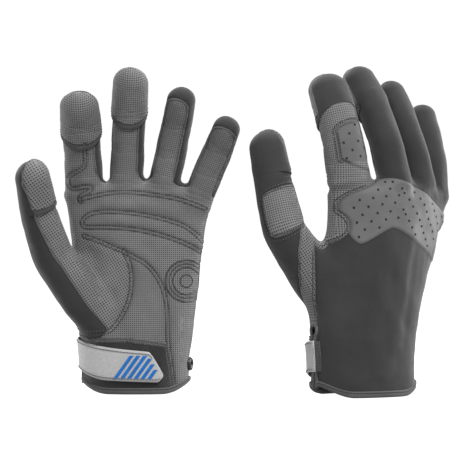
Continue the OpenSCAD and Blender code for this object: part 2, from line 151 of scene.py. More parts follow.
class Digit:
    """A finger or thumb: a bent centre line with an ellipse carried along it."""

    def __init__(self, base, lean, pitch, roll, curls, bones, wide, deep, tip):
        turn = ry(lean) @ rx(-pitch) @ rz(roll)
        self.bones, self.reach, self.tip = bones, sum(bones), tip
        t = np.append(np.arange(-14.0, self.reach - tip, 1.0), self.reach - tip)
        bend = np.radians(
            curls[0] * smooth((t - bones[0] + 9) / 18)
            + curls[1] * smooth((t - bones[0] - bones[1] + 9) / 18)
        )
        o = np.zeros_like(t)
        self.z = np.stack([o, np.sin(bend), np.cos(bend)], 1) @ turn.T
        self.y = np.stack([o, np.cos(bend), -np.sin(bend)], 1) @ turn.T
        self.x = turn[:, 0]
        step = np.diff(t)[:, None] * (self.z[1:] + self.z[:-1]) / 2
        c = np.vstack([np.zeros(3), np.cumsum(step, 0)])
        self.c = c - c[14] + np.array(base, float)
        self.t = t
        root = 1 - 0.6 * smooth(-t / 14)
        self.wide = np.interp(t, *zip(*wide)) * root
        self.deep = np.interp(t, *zip(*deep)) * root

    def at(self, t):
        pick = lambda a: np.stack([np.interp(t, self.t, a[:, i]) for i in range(3)], -1)
        return pick(self.c), pick(self.y), pick(self.z)

    def coords(self, p):
        """Distance along, across, towards the palm, past the end; half width, half depth."""
        near = np.empty(len(p), int)
        for i in range(0, len(p), 40000):
            q = p[i : i + 40000]
            near[i : i + 40000] = np.argmin((self.c**2).sum(1) - 2 * q @ self.c.T, 1)
        t = self.t[near] + ((p - self.c[near]) * self.z[near]).sum(1)
        t = np.clip(t, self.t[0], self.t[-1])
        c, y, z = self.at(t)
        v = p - c
        return (
            t,
            v @ self.x,
            (v * y).sum(1),
            (v * z).sum(1),
            np.interp(t, self.t, self.wide),
            np.interp(t, self.t, self.deep),
        )

    def field(self, p):
        t, u, q, r, w, d = self.coords(p)
        r = np.where((t > self.t[0]) & (t < self.t[-1]), 0, r)
        e = np.sqrt((u / w) ** 2 + (q / d) ** 2 + (r / self.tip) ** 2)
        return np.sqrt(u * u + q * q + r * r) * (1 - 1 / np.maximum(e, 0.05))

    def surface(self, t, phi, off=0.0):
        """Points and outward directions at distance t and angle phi (90 = palm side)."""
        t, phi = np.broadcast_arrays(np.asarray(t, float), np.radians(np.asarray(phi, float)))
        tip = np.clip((t - self.t[-1]) / self.tip, 0, 0.999)
        k = np.sqrt(1 - tip * tip)
        c, y, z = self.at(t)
        c = c + z * np.maximum(0, t - self.t[-1])[..., None]
        w, d = np.interp(t, self.t, self.wide) * k, np.interp(t, self.t, self.deep) * k
        n = self.x * (np.cos(phi) / np.maximum(w, 1))[..., None] + y * (np.sin(phi) / np.maximum(d, 1))[..., None]
        n = n / np.linalg.norm(n, axis=-1, keepdims=True)
        return c + self.x * (w * np.cos(phi))[..., None] + y * (d * np.sin(phi))[..., None] + n * off, n


THUMB_W = ((0, 14), (40, 18), (80, 16), (118, 14.3), (146, 12.8), (158, 11))
THUMB_D = ((0, 13), (40, 15.5), (80, 14.5), (118, 12.5), (146, 11), (158, 9.5))
INDEX_W = (((0, 14.2), (28, 13.4), (52, 13.6), (80, 12.2)), ((0, 16.6), (14, 15.8), (28, 15.2), (52, 14.8), (80, 13.4)))
INDEX_D = ((0, 12), (28, 11.8), (52, 11.6), (80, 10))
MIDDLE_W = ((0, 12.5), (32, 12), (60, 12), (94, 11))
MIDDLE_D = ((0, 12), (32, 11.8), (60, 11.2), (94, 9.8))
RING_W = ((0, 11.6), (29, 11.2), (54, 11), (84, 10))
RING_D = ((0, 11.4), (29, 11), (54, 10.5), (84, 9.2))
LITTLE_W = ((0, 11), (25, 11), (46, 10.5), (72, 9.3))
LITTLE_D = ((0, 10.5), (25, 10.3), (46, 9.8), (72, 8.4))


def bones(length, *shares):
    return [length * s for s in shares]


T, I, M, R, L = (
    bones(154, 0.52, 0.234, 0.246),
    bones(78, 0.36, 0.31, 0.33),
    bones(92, 0.348, 0.304, 0.348),
    bones(82, 0.354, 0.305, 0.341),
    bones(70, 0.357, 0.3, 0.343),
)
DIGITS = (
    {
        "thumb": Digit((-13, 6, 36), -34, 17, -65, (18, 8), T, THUMB_W, THUMB_D, 12),
        "index": Digit((-34.2, 2, 144), -2.6, 6, 0, (14, 16), I, INDEX_W[0], INDEX_D, 11),
        "middle": Digit((-5, -1, 146), 3.3, 4, 0, (12, 12), M, MIDDLE_W, MIDDLE_D, 11),
        "ring": Digit((21.8, 0, 145.5), 12.6, 6, 0, (16, 16), R, RING_W, RING_D, 10),
        "little": Digit((46.2, 4, 137.5), 23, 6, 0, (14, 14), L, LITTLE_W, LITTLE_D, 9),
    },
    {
        "thumb": Digit((-12, 6, 50), -33.5, 6, -70, (27, 4), T, THUMB_W, THUMB_D, 12),
        "index": Digit((-12.6, -2, 153), -8.3, 4, 0, (8, 10), I, INDEX_W[1], INDEX_D, 11),
        "middle": Digit((24.6, -3, 151), -11.8, 6, 0, (12, 16), M, MIDDLE_W, MIDDLE_D, 11),
        "ring": Digit((49.2, 4, 149), -10.8, 6, 0, (10, 12), R, RING_W, RING_D, 10),
        "little": Digit((67.8, 14, 141.5), -3.2, 4, 0, (8, 10), L, LITTLE_W, LITTLE_D, 9),
    },
)
FINGERS = ("index", "middle", "ring", "little")
NAMES = ("thumb",) + FINGERS


def smin(a, b, k):
    h = np.maximum(k - abs(a - b), 0) / k
    return np.minimum(a, b) - h * h * k * 0.25


def combine(hand, digit):
    f = digit["index"]
    for n in FINGERS[1:]:
        f = smin(f, digit[n], 1.5)
    return smin(smin(hand, f, 6), digit["thumb"], 10)


def glove_field(g, p):
    return combine(hand_field(g, p), {n: DIGITS[g][n].field(p) for n in NAMES})


def gradient(g, p, e=0.25):
    out = np.zeros_like(p)
    for s in np.array([[1, 1, 1], [1, -1, -1], [-1, 1, -1], [-1, -1, 1]], float):
        out += s * glove_field(g, p + s * e)[:, None]
    return out / (4 * e)




# ---------------------------------------------------------------- mesh tools
def surface_nets(g, h):
    lo, hi = [], []
    for n in NAMES:
        d = DIGITS[g][n]
        lo.append(d.c.min(0) - 22)
        hi.append(d.c.max(0) + 22)
    lo, hi = np.min(lo, 0), np.max(hi, 0)
    lo = np.array([min(lo[0], -60), min(lo[1], -44), -6.0])
    hi = np.array([max(hi[0], 60), max(hi[1], 40), hi[2]])
    axes = [np.arange(a, b, h) for a, b in zip(lo, hi)]
    shape = tuple(len(a) for a in axes)

    def sampled(field, low, high):
        out = np.full(shape, 30.0)
        part = [np.where((a >= l) & (a <= m))[0] for a, l, m in zip(axes, low, high)]
        if min(len(p) for p in part) == 0:
            return out
        mesh = np.meshgrid(*[a[p] for a, p in zip(axes, part)], indexing="ij")
        p = np.stack(mesh, -1).reshape(-1, 3)
        out[np.ix_(*part)] = field(p).reshape([len(q) for q in part])
        return out

    hand = sampled(lambda p: hand_field(g, p), (-70, -48, -10), (100, 60, 160))
    digit = {}
    for n in NAMES:
        d = DIGITS[g][n]
        digit[n] = sampled(d.field, d.c.min(0) - 26, d.c.max(0) + 26)
    f = combine(hand, digit)
    inside = f < 0
    total = sum(
        inside[i : i + shape[0] - 1, j : j + shape[1] - 1, k : k + shape[2] - 1].astype(np.int8)
        for i in (0, 1) for j in (0, 1) for k in (0, 1)
    )
    cells = np.argwhere((total > 0) & (total < 8))
    ids = np.full(total.shape, -1)
    ids[tuple(cells.T)] = np.arange(len(cells))
    acc, count = np.zeros((len(cells), 3)), np.zeros(len(cells))
    corners = [np.array(c) for c in np.ndindex(2, 2, 2)]
    for a in corners:
        for axis in range(3):
            if a[axis]:
                continue
            b = a.copy()
            b[axis] = 1
            fa, fb = f[tuple((cells + a).T)], f[tuple((cells + b).T)]
            cross = (fa < 0) != (fb < 0)
            t = np.where(cross, fa / np.where(cross, fa - fb, 1), 0)
            acc += np.where(cross[:, None], a + t[:, None] * (b - a), 0)
            count += cross
    v = lo + h * (cells + acc / count[:, None])
    faces = []
    for axis in range(3):
        o1, o2 = [x for x in range(3) if x != axis]
        p = [slice(None)] * 3
        q = [slice(None)] * 3
        p[axis], q[axis] = slice(None, -1), slice(1, None)
        change = np.argwhere(inside[tuple(p)] != inside[tuple(q)])
        keep = (change[:, o1] > 0) & (change[:, o2] > 0)
        keep &= (change[:, o1] < shape[o1] - 1) & (change[:, o2] < shape[o2] - 1)
        change = change[keep]
        quad = []
        for d1, d2 in ((-1, -1), (0, -1), (0, 0), (-1, 0)):
            c = change.copy()
            c[:, o1] += d1
            c[:, o2] += d2
            quad.append(ids[tuple(c.T)])
        quad = np.stack(quad, 1)
        flip = inside[tuple(change.T)]
        if axis == 1:
            flip = ~flip
        quad[~flip] = quad[~flip][:, ::-1]
        faces.append(quad)
    quads = np.concatenate(faces)
    quads = quads[(quads >= 0).all(1)]
    a, b, c, d = (v[quads[:, i]] for i in range(4))
    near = ((a - c) ** 2).sum(1) <= ((b - d) ** 2).sum(1)
    tri = np.where(
        near[:, None],
        quads[:, [0, 1, 2, 0, 2, 3]],
        quads[:, [0, 1, 3, 1, 2, 3]],
    ).reshape(-1, 3)
    return v, tri


def neighbours_mean(v, f):
    e = np.concatenate([f[:, [0, 1]], f[:, [1, 2]], f[:, [2, 0]]])
    e = np.unique(np.sort(e, 1), axis=0)
    n = len(v)
    out = np.stack(
        [np.bincount(e[:, 0], v[e[:, 1], i], n) + np.bincount(e[:, 1], v[e[:, 0], i], n) for i in range(v.shape[1])], 1
    )
    count = np.bincount(e[:, 0], minlength=n) + np.bincount(e[:, 1], minlength=n)
    return out / np.maximum(count, 1)[:, None]


def project(g, v, times=2):
    for _ in range(times):
        d = gradient(g, v)
        m = (d * d).sum(1)
        step = glove_field(g, v) / np.maximum(m, 0.2)
        v = v - np.clip(step, -1.5, 1.5)[:, None] * d
    return v


def vertex_normals(v, f):
    n = np.cross(v[f[:, 1]] - v[f[:, 0]], v[f[:, 2]] - v[f[:, 0]])
    out = np.zeros_like(v)
    for i in range(3):
        for k in range(3):
            out[:, k] += np.bincount(f[:, i], n[:, k], len(v))
    return out / np.maximum(np.linalg.norm(out, axis=1, keepdims=True), 1e-12)


def split(v, f, value, eps=0.06):
    """Cuts the triangles along value = 0 and returns points and triangles that lie on one side each."""
    s = np.where(abs(value) < eps, 0, np.sign(value)).astype(int)
    fs = s[f]
    cut = (fs.max(1) > 0) & (fs.min(1) < 0)
    keep, work = f[~cut], f[cut]
    if len(work) == 0:
        return v, f
    e = np.concatenate([work[:, [0, 1]], work[:, [1, 2]], work[:, [2, 0]]])
    e = np.sort(e, 1)
    e = e[s[e[:, 0]] * s[e[:, 1]] < 0]
    e = np.unique(e, axis=0)
    a, b = value[e[:, 0]], value[e[:, 1]]
    new = v[e[:, 0]] + (v[e[:, 1]] - v[e[:, 0]]) * (a / (a - b))[:, None]
    key = e[:, 0] * len(v) + e[:, 1]

    def mid(i, j):
        k = np.minimum(i, j) * len(v) + np.maximum(i, j)
        return len(v) + np.searchsorted(key, k)

    out = [keep]
    ws = s[work]
    zero = (ws == 0).any(1)
    # one corner on the line, the other two on opposite sides
    z = work[zero]
    roll = np.argmax(s[z] == 0, 1)
    z = np.stack([z[np.arange(len(z)), (roll + i) % 3] for i in range(3)], 1)
    if len(z):
        m = mid(z[:, 1], z[:, 2])
        out += [np.stack([z[:, 0], z[:, 1], m], 1), np.stack([z[:, 0], m, z[:, 2]], 1)]
    # one corner alone on its side
    w = work[~zero]
    if len(w):
        sw = s[w]
        lone = np.argmax(sw * sw.sum(1, keepdims=True) < 0, 1)
        w = np.stack([w[np.arange(len(w)), (lone + i) % 3] for i in range(3)], 1)
        p, q = mid(w[:, 0], w[:, 1]), mid(w[:, 2], w[:, 0])
        out += [np.stack([w[:, 0], p, q], 1), np.stack([p, w[:, 1], w[:, 2]], 1), np.stack([p, w[:, 2], q], 1)]
    return np.vstack([v, new]), np.vstack(out)


def compact(v, f, *arrays):
    used = np.unique(f)
    back = np.full(len(v), -1)
    back[used] = np.arange(len(used))
    return (v[used], back[f]) + tuple(a[used] for a in arrays)


def contours(v, f, value, level=0.0):
    """Point runs along value = level: each a list of (corner, corner, share) rows."""
    w = value - level
    w = np.where(abs(w) < 1e-9, 1e-9, w)
    cut = (w[f].max(1) > 0) & (w[f].min(1) < 0)
    ends = []
    for i, j in ((0, 1), (1, 2), (2, 0)):
        a, b = f[cut][:, i], f[cut][:, j]
        cross = w[a] * w[b] < 0
        k = np.minimum(a, b) * len(v) + np.maximum(a, b)
        ends.append(np.where(cross, k, -1))
    ends = np.stack(ends, 1)
    links = {}
    for row in ends:
        a, b = row[row >= 0][:2]
        links.setdefault(a, []).append(b)
        links.setdefault(b, []).append(a)
    runs, seen = [], set()
    starts = [k for k, l in links.items() if len(l) == 1] + list(links)
    for k in starts:
        if k in seen:
            continue
        run = [k]
        seen.add(k)
        while True:
            nxt = [n for n in links[run[-1]] if n not in seen]
            if not nxt:
                break
            run.append(nxt[0])
            seen.add(nxt[0])
        if len(run) > 2 and run[0] in links[run[-1]]:
            run.append(run[0])
        if len(run) > 3:
            run = np.array(run)
            i, j = run // len(v), run % len(v)
            t = w[i] / (w[i] - w[j])
            runs.append((i, j, t))
    return runs


def along(run, a):
    i, j, t = run
    t = t if a.ndim == 1 else t[:, None]
    return a[i] + (a[j] - a[i]) * t


def resample(p, n, step, extra=None):
    """Even steps along a run of points; n are the outward directions there."""
    for _ in range(3):
        if len(p) > 4:
            p = p.copy()
            p[1:-1] = (p[:-2] + 2 * p[1:-1] + p[2:]) / 4
    d = np.append(0, np.cumsum(np.linalg.norm(np.diff(p, axis=0), axis=1)))
    if d[-1] < step * 2:
        return None
    m = max(3, int(round(d[-1] / step)) + 1)
    t = np.linspace(0, d[-1], m)
    q = np.stack([np.interp(t, d, p[:, k]) for k in range(3)], 1)
    r = np.stack([np.interp(t, d, n[:, k]) for k in range(3)], 1)
    r /= np.maximum(np.linalg.norm(r, axis=1, keepdims=True), 1e-9)
    out = [q, r]
    if extra is not None:
        out.append(np.interp(t, d, extra))
    return out


def stitches(p, n, pitch=2.5, long=1.7, r=0.3, lift=0.12):
    """Short sewn beads along a path."""
    got = resample(p, n, pitch / 4)
    if got is None:
        return []
    q, m = got
    out = []
    ring = [(np.cos(a), np.sin(a)) for a in np.arange(6) * np.pi / 3]
    for i in range(2, len(q) - 2, 4):
        d = q[min(i + 1, len(q) - 1)] - q[i - 1]
        d = d / max(np.linalg.norm(d), 1e-9)
        s = np.cross(d, m[i])
        s /= max(np.linalg.norm(s), 1e-9)
        up = np.cross(s, d)
        v = []
        for x, k, z in ((-0.5, 0.45, -0.5), (-0.25, 1, 0), (0.25, 1, 0), (0.5, 0.45, -0.5)):
            c = q[i] + m[i] * lift + d * x * long + up * z * r
            for a, b in ring:
                v.append(c + s * a * r * k + up * b * r * k)
        f = []
        for k in range(3):
            for j in range(6):
                a, b = k * 6 + j, k * 6 + (j + 1) % 6
                f += [(a, b, b + 6), (a, b + 6, a + 6)]
        for j in range(1, 5):
            f += [(0, j + 1, j), (18, 18 + j, 19 + j)]
        out.append((np.array(v), np.array(f)))
    return out


def sweep(p, n, section, closed=False, scale=None):
    """A closed section of (across, outward) pairs carried along a path."""
    d = np.gradient(p, axis=0)
    if closed:
        d[0] = d[-1] = p[1] - p[-2]
    d /= np.maximum(np.linalg.norm(d, axis=1, keepdims=True), 1e-9)
    s = np.cross(d, n)
    s /= np.maximum(np.linalg.norm(s, axis=1, keepdims=True), 1e-9)
    up = np.cross(s, d)
    sec = np.array(section, float)
    k = len(sec)
    size = np.ones(len(p)) if scale is None else scale
    v = p[:, None] + size[:, None, None] * (s[:, None] * sec[None, :, :1] + up[:, None] * sec[None, :, 1:])
    m = len(p) - 1 if closed else len(p)
    v = v[:m].reshape(-1, 3)
    i, j = np.meshgrid(np.arange(m if closed else m - 1), np.arange(k), indexing="ij")
    i, j = i.ravel(), j.ravel()
    a, b = i * k + j, i * k + (j + 1) % k
    c, e = ((i + 1) % m) * k + (j + 1) % k, ((i + 1) % m) * k + j
    f = np.concatenate([np.stack([a, b, c], 1), np.stack([a, c, e], 1)])
    if not closed:
        fan = np.arange(1, k - 1)
        o = np.zeros_like(fan)
        last = (m - 1) * k
        f = np.vstack([f, np.stack([o, fan + 1, fan], 1), np.stack([o + last, fan + last, fan + 1 + last], 1)])
    return v, f[:, ::-1]


def rounded(w, h, n=5, r=None):
    """A rounded bar section, w across and h high, standing on zero."""
    r = min(w, h) * 0.48 if r is None else r
    pts = []
    for cx, cy, a0 in ((w / 2 - r, r, -90), (w / 2 - r, h - r, 0), (-w / 2 + r, h - r, 90), (-w / 2 + r, r, 180)):
        for a in np.radians(np.linspace(a0, a0 + 90, n)):
            pts.append((cx + r * np.cos(a), cy + r * np.sin(a)))
    return pts


def join(parts):
    v, f, k = [], [], 0
    for a, b in parts:
        v.append(a)
        f.append(b + k)
        k += len(a)
    return np.vstack(v), np.vstack(f)


def thicken(v, f, n, t):
    """A closed sheet: the outer side as given, an inner side t further in, and a rim."""
    k = len(v)
    e = np.concatenate([f[:, [0, 1]], f[:, [1, 2]], f[:, [2, 0]]])
    key = np.minimum(e[:, 0], e[:, 1]) * k + np.maximum(e[:, 0], e[:, 1])
    _, first, count = np.unique(key, return_index=True, return_counts=True)
    rim = e[first[count == 1]]
    a, b = rim[:, 0], rim[:, 1]
    sides = np.vstack([np.stack([b, a, a + k], 1), np.stack([b, a + k, b + k], 1)])
    return np.vstack([v, v - n * np.reshape(t, (-1, 1))]), np.vstack([f, f[:, ::-1] + k, sides])


def chaikin(points, times=2, closed=True):
    p = np.array(points, float)
    for _ in range(times):
        q = np.roll(p, -1, 0) if closed else p[1:]
        p0 = p if closed else p[:-1]
        mix = np.stack([0.75 * p0 + 0.25 * q, 0.25 * p0 + 0.75 * q], 1).reshape(-1, 2)
        p = mix if closed else np.vstack([p[:1], mix, p[-1:]])
    return p


def outline(x, y, points, times=2):
    """Signed distance to a rounded closed outline, positive inside."""
    p = chaikin(points, times)
    q = np.roll(p, -1, 0)
    best = np.full(len(x), 1e9)
    inside = np.zeros(len(x), bool)
    for (ax, ay), (bx, by) in zip(p, q):
        dx, dy = bx - ax, by - ay
        t = np.clip(((x - ax) * dx + (y - ay) * dy) / max(dx * dx + dy * dy, 1e-9), 0, 1)
        best = np.minimum(best, (x - ax - t * dx) ** 2 + (y - ay - t * dy) ** 2)
        hit = (ay > y) != (by > y)
        inside ^= hit & (x < ax + (y - ay) * dx / (dy if dy else 1e-9))
    return np.where(inside, 1, -1) * np.sqrt(best)


def line(x, y, points, times=2):
    """Distance to a rounded open line."""
    p = chaikin(points, times, False)
    best = np.full(len(x), 1e9)
    for (ax, ay), (bx, by) in zip(p[:-1], p[1:]):
        dx, dy = bx - ax, by - ay
        t = np.clip(((x - ax) * dx + (y - ay) * dy) / max(dx * dx + dy * dy, 1e-9), 0, 1)
        best = np.minimum(best, (x - ax - t * dx) ** 2 + (y - ay - t * dy) ** 2)
    return np.sqrt(best)




# ---------------------------------------------------------------- where each panel lies
# Outlines on the hand are (x, z) of the left palm, or (share of half width, z) on the back.
BAND = [(-37.7, 140), (-31.2, 141.1), (-21.8, 143.6), (-11, 145.1), (1.2, 145.1), (19.2, 142.9), (36.5, 139.7), (53.4, 133.2)]
BAR = [(-32.6, 128), (-26.1, 130.5), (-11, 131.2), (11.3, 128.5), (35.6, 122.4), (44.6, 116.4), (51, 110), (58, 101),
       (57, 95), (48.7, 103.2), (36.5, 109.3), (19.2, 114.8), (-0.9, 118.9), (-21.1, 119.9), (-34.8, 119.4), (-36.2, 123.5)]
HEEL = [(-34.8, 113.4), (-26.1, 110.8), (-7.9, 103.2), (1.2, 98.6), (11.3, 93.1), (18.4, 85), (23.4, 74.9),
        (25.9, 62.8), (26.4, 47.7), (26.9, 32.5), (29.4, 18.4), (31, 6)]
THENAR = [(-5.5, 102.5), (-2.6, 97.5), (-0.3, 91.1), (0.7, 81), (-0.8, 67.8), (-5.9, 56.7), (-13, 46.6), (-18, 44.3), (-30, 43.6), (-46, 46)]
LOOP = [(-60, 41.6), (-36.2, 41.6), (-26.1, 38.7), (-4.9, 39), (9.1, 37.5), (24, 35), (26.4, 34.2), (26.9, 28), (29.4, 18.4),
        (31, 9), (31, -12), (-60, -12)]
KNUCKLE = [(-0.95, 136.7), (-0.8, 143.4), (-0.5, 148.3), (-0.28, 154), (-0.11, 155.1), (0.16, 150.5), (0.5, 142), (0.9, 131.4),
           (1.3, 125), (1.3, 85), (0.81, 98.5), (0.3, 109.5), (-0.13, 119.9), (-0.25, 118), (-0.55, 108.2), (-0.66, 107.8),
           (-0.82, 115.3), (-0.81, 123), (-0.85, 127.5), (-0.97, 132)]
WEB = [(-1.5, 108), (-0.99, 108.6), (-0.86, 112), (-0.78, 117), (-0.79, 123), (-0.85, 128), (-0.96, 132), (-0.95, 137),
       (-0.8, 143.4), (-0.5, 148.3), (-0.28, 154.3), (-0.2, 175), (-1.5, 175)]
MEANDER = [(2.3, 40), (2.3, 31.7), (1.9, 22.2), (0.5, 19.5), (-10.3, 14.4), (-11.4, 11.6), (-11.1, 6.8), (-8.6, 4.7), (3.1, 6.3),
           (5.9, 5.2), (5.1, 2.9), (-2.4, 0), (-4.4, -2.1), (-2.6, -4.8)]
BADGE_Z, BADGE_S = 81.0, 0.8
HOOD = {"thumb": (34.0, 1.0), "index": (33.5, 8.5), "middle": (34.5, 9.5)}
HOOD_BACK = {"thumb": 33.0, "index": 25.0, "middle": 25.0}
CUT = {"thumb": 60.0, "index": 12.0, "middle": 12.0, "ring": 12.0, "little": 11.0}
SECTOR = {  # distance along, and the two edges of the palm weave there
    "thumb": ((0, 15, 28, 40, 54, 66, 75, 84, 130, 152), (-150, -140, -129, -100, -71, -40, -7, 38, 30, 10),
              (140, 140, 145, 148, 148, 146, 144, 150, 176, 200)),
    "index": ((0, 4, 16, 78), (0, 5, 48, 48), (360, 355, 320, 320)),
    "middle": ((0, 4, 16, 92), (0, 3, 50, 50), (180, 180, 163, 160)),
    "ring": ((0, 4, 16, 82), (0, 3, 54, 50), (180, 180, 170, 160)),
    "little": ((0, 4, 16, 70), (0, 3, 20, 26), (180, 180, 168, 160)),
}
FRONT = [(-60, 116), (-34.8, 113.4), (-26.1, 110.8), (-9.5, 103.8), (-5.5, 102.5)] + THENAR[1:] + [(-90, 46), (-90, 116)]
LONE = {"ring": 4.2, "little": 4.4}  # the foam tips of the fingers without a hood


def arc_table():
    phi = np.radians(np.arange(-90, 271, 1.0))
    c, s = np.cos(phi), np.sin(phi)
    k = (abs(c) ** POWER + abs(s) ** POWER) ** (-1 / POWER)
    x, y = 44 * c * k, 20 * s * k
    d = np.append(0, np.cumsum(np.hypot(np.diff(x), np.diff(y))))
    return np.arange(-90, 271, 1.0), d - d[180]


ARC_PHI, ARC = arc_table()


def attributes(g, v):
    a = {"x": v[:, 0], "y0": v[:, 1]}
    a["s"], a["y"], a["z"], a["a"], a["b"] = hand_coords(g, v)
    a["xc"] = hand_x(0, v[:, 2]) + a["s"] * a["a"]
    a["hand"] = hand_field(g, v)
    turn = np.degrees(np.arctan2(a["y"] / a["b"], a["s"]))
    turn = (turn + 90) % 360 - 90
    a["turn"] = turn
    a["arc"] = -np.interp(turn, ARC_PHI, ARC) * a["a"] / 44
    for n in NAMES:
        d = DIGITS[g][n]
        t, u, q, r, w, h = d.coords(v)
        r = np.where(t >= d.t[-1], np.maximum(r, 0), 0)
        e = np.sqrt((u / w) ** 2 + (q / h) ** 2 + (r / d.tip) ** 2)
        a[n] = {
            "t": t + r, "u": u, "q": q, "phi": np.degrees(np.arctan2(q / h, u / w)),
            "r": (w + h) / 2, "d": np.sqrt(u * u + q * q + r * r) * (1 - 1 / np.maximum(e, 0.05)),
        }
    return a


def sector(a, n, low, high):
    """Distance inside an angular sector of a digit."""
    mid, half = (low + high) / 2, (high - low) / 2
    off = abs((a[n]["phi"] - mid + 180) % 360 - 180)
    return (half - off) * np.pi / 180 * a[n]["r"]


def finger_region(a, n):
    """Positive on digit n beyond its own cut."""
    others = [a[m]["d"] for m in NAMES if m != n]
    if n == "thumb":
        others = others + [a["hand"] + 1]
    return np.minimum(a[n]["t"] - CUT[n], np.min(others, 0) - a[n]["d"])


def weave(g, a):
    """Positive on the woven palm material, negative on the foam back."""
    s, y, z = a["s"], a["y"], a["z"]
    thumb_side = np.interp(z, (0, 60, 70, 90, 107, 150), (3.5, 3, 2.5, 6, 6.5, 6))
    little_side = np.interp(z, (0, 40, 60, 105, 125, 150), ((8, 9, 12, 12, 12, 12), (8, 9, 12, 12, 3, 0))[g])
    w = y + np.where(s < 0, thumb_side, little_side) * smooth(abs(s) * 1.1)
    web = outline(s * 46, z, [(p * 46, q) for p, q in WEB])
    w = np.where(y < 6, np.maximum(w, np.minimum(web, 8)), w)
    for n in FINGERS:
        t = a[n]["t"]
        tt, lo, hi = SECTOR[n]
        f = sector(a, n, np.interp(t, tt, lo), np.interp(t, tt, hi))
        if n in LONE:
            d = DIGITS[g][n]
            ends = d.wide.mean() * np.cos(np.radians([lo[-1], hi[-1]]))
            round_end = abs(ends[1] - ends[0]) / 2
            past = np.maximum(0, t - (d.reach - LONE[n] - round_end))
            f = smin(f, round_end - np.hypot(a[n]["u"] - ends.mean(), past), 2)
        near = np.min([a[m]["d"] for m in NAMES if m != n], 0) - a[n]["d"]
        k = smooth((t - 2) / 8) * smooth((near + 1) / 2)
        w = w * (1 - k) + f * k
    t = a["thumb"]["t"]
    tt, lo, hi = SECTOR["thumb"]
    f = sector(a, "thumb", np.interp(t, tt, lo), np.interp(t, tt, hi))
    f = np.maximum(f, 14 - t)
    fingers = np.min([a[n]["d"] for n in FINGERS], 0)
    k = smooth((np.minimum(a["hand"], fingers) - a["thumb"]["d"] + 2.5) / 5)
    w = w * (1 - k) + f * k
    # the foam back reaches round towards the thumb, up to a straight edge
    across = a["x"] * np.cos(TURN) - a["y0"] * np.sin(TURN)
    limit = np.max([-35 - across, z - 108.5, 61 - z, a["y0"] + 2, (s - 0.2) * 44], 0)
    return smin(w, limit, 1.0)


def patches(g, a):
    """Panels sewn on: the knuckle panel, the strap's landing, the two finger patches."""
    on_back = -a["y"]
    knuckle = outline(a["s"] * 46, a["z"], [(p * 46, q) for p, q in KNUCKLE])
    knuckle = np.minimum(knuckle, on_back + 2)
    loop = np.minimum(outline(a["xc"], a["z"], LOOP, 1), a["y"])
    i = a["index"]
    turned = (i["phi"] + 360) % 360
    x = (turned - 270) * np.pi / 180 * i["r"]
    dee = outline(x, i["t"], [(-8, 14), (-11.5, 19), (-12.2, 26), (-10.5, 33), (-6, 37.8), (2, 40), (18, 40), (20, 22), (18, 3), (10, 5), (0, 9)], 3)
    dee = np.minimum(dee, sector(a, "index", 232, 326))
    t = a["thumb"]
    x = (t["phi"] + 22) * np.pi / 180 * t["r"]
    patch = outline(x, t["t"], [(-19, 82), (-17, 79), (0, 77.5), (14, 80), (26, 84), (26, 109), (14, 111), (-13, 108.5), (-18, 105)])
    return {"knuckle": knuckle, "loop": loop, "dee": dee, "patch": patch}


def seams(g, a):
    """Sewn lines on the palm: distance to each."""
    palm = np.where(a["y"] > 0, 0, 40)
    far = np.maximum(0, a["index"]["q"] * -1) * 3
    return {
        "band": line(a["xc"], a["z"], BAND) + palm,
        "bar": abs(outline(a["xc"], a["z"], BAR)) + palm,
        "heel": line(a["xc"], a["z"], HEEL) + palm,
        "thenar": line(a["xc"], a["z"], THENAR) + palm,
        "meander": line(a["index"]["u"], a["index"]["t"], MEANDER) + far,
    }


def hem_of(g, a, n):
    base, swing = HOOD[n]
    return DIGITS[g][n].reach - (base + swing * np.sin(np.radians(a[n]["phi"])))


def ripple(v, seed, size, waves=10):
    """Smooth unevenness, about -1 to 1."""
    rng = np.random.default_rng(seed)
    d = rng.normal(size=(waves, 3))
    d /= np.linalg.norm(d, axis=1, keepdims=True)
    k = 2 * np.pi / (size * rng.uniform(0.7, 1.5, waves))
    return np.sin(v @ (d * k[:, None]).T + rng.uniform(0, 6.28, waves)).sum(1) / np.sqrt(waves)


# ---------------------------------------------------------------- materials
def srgb(*c):
    c = np.array(c if len(c) == 3 else c * 3, float) / 255
    return tuple(np.where(c <= 0.04045, c / 12.92, ((c + 0.055) / 1.055) ** 2.4)) + (1.0,)


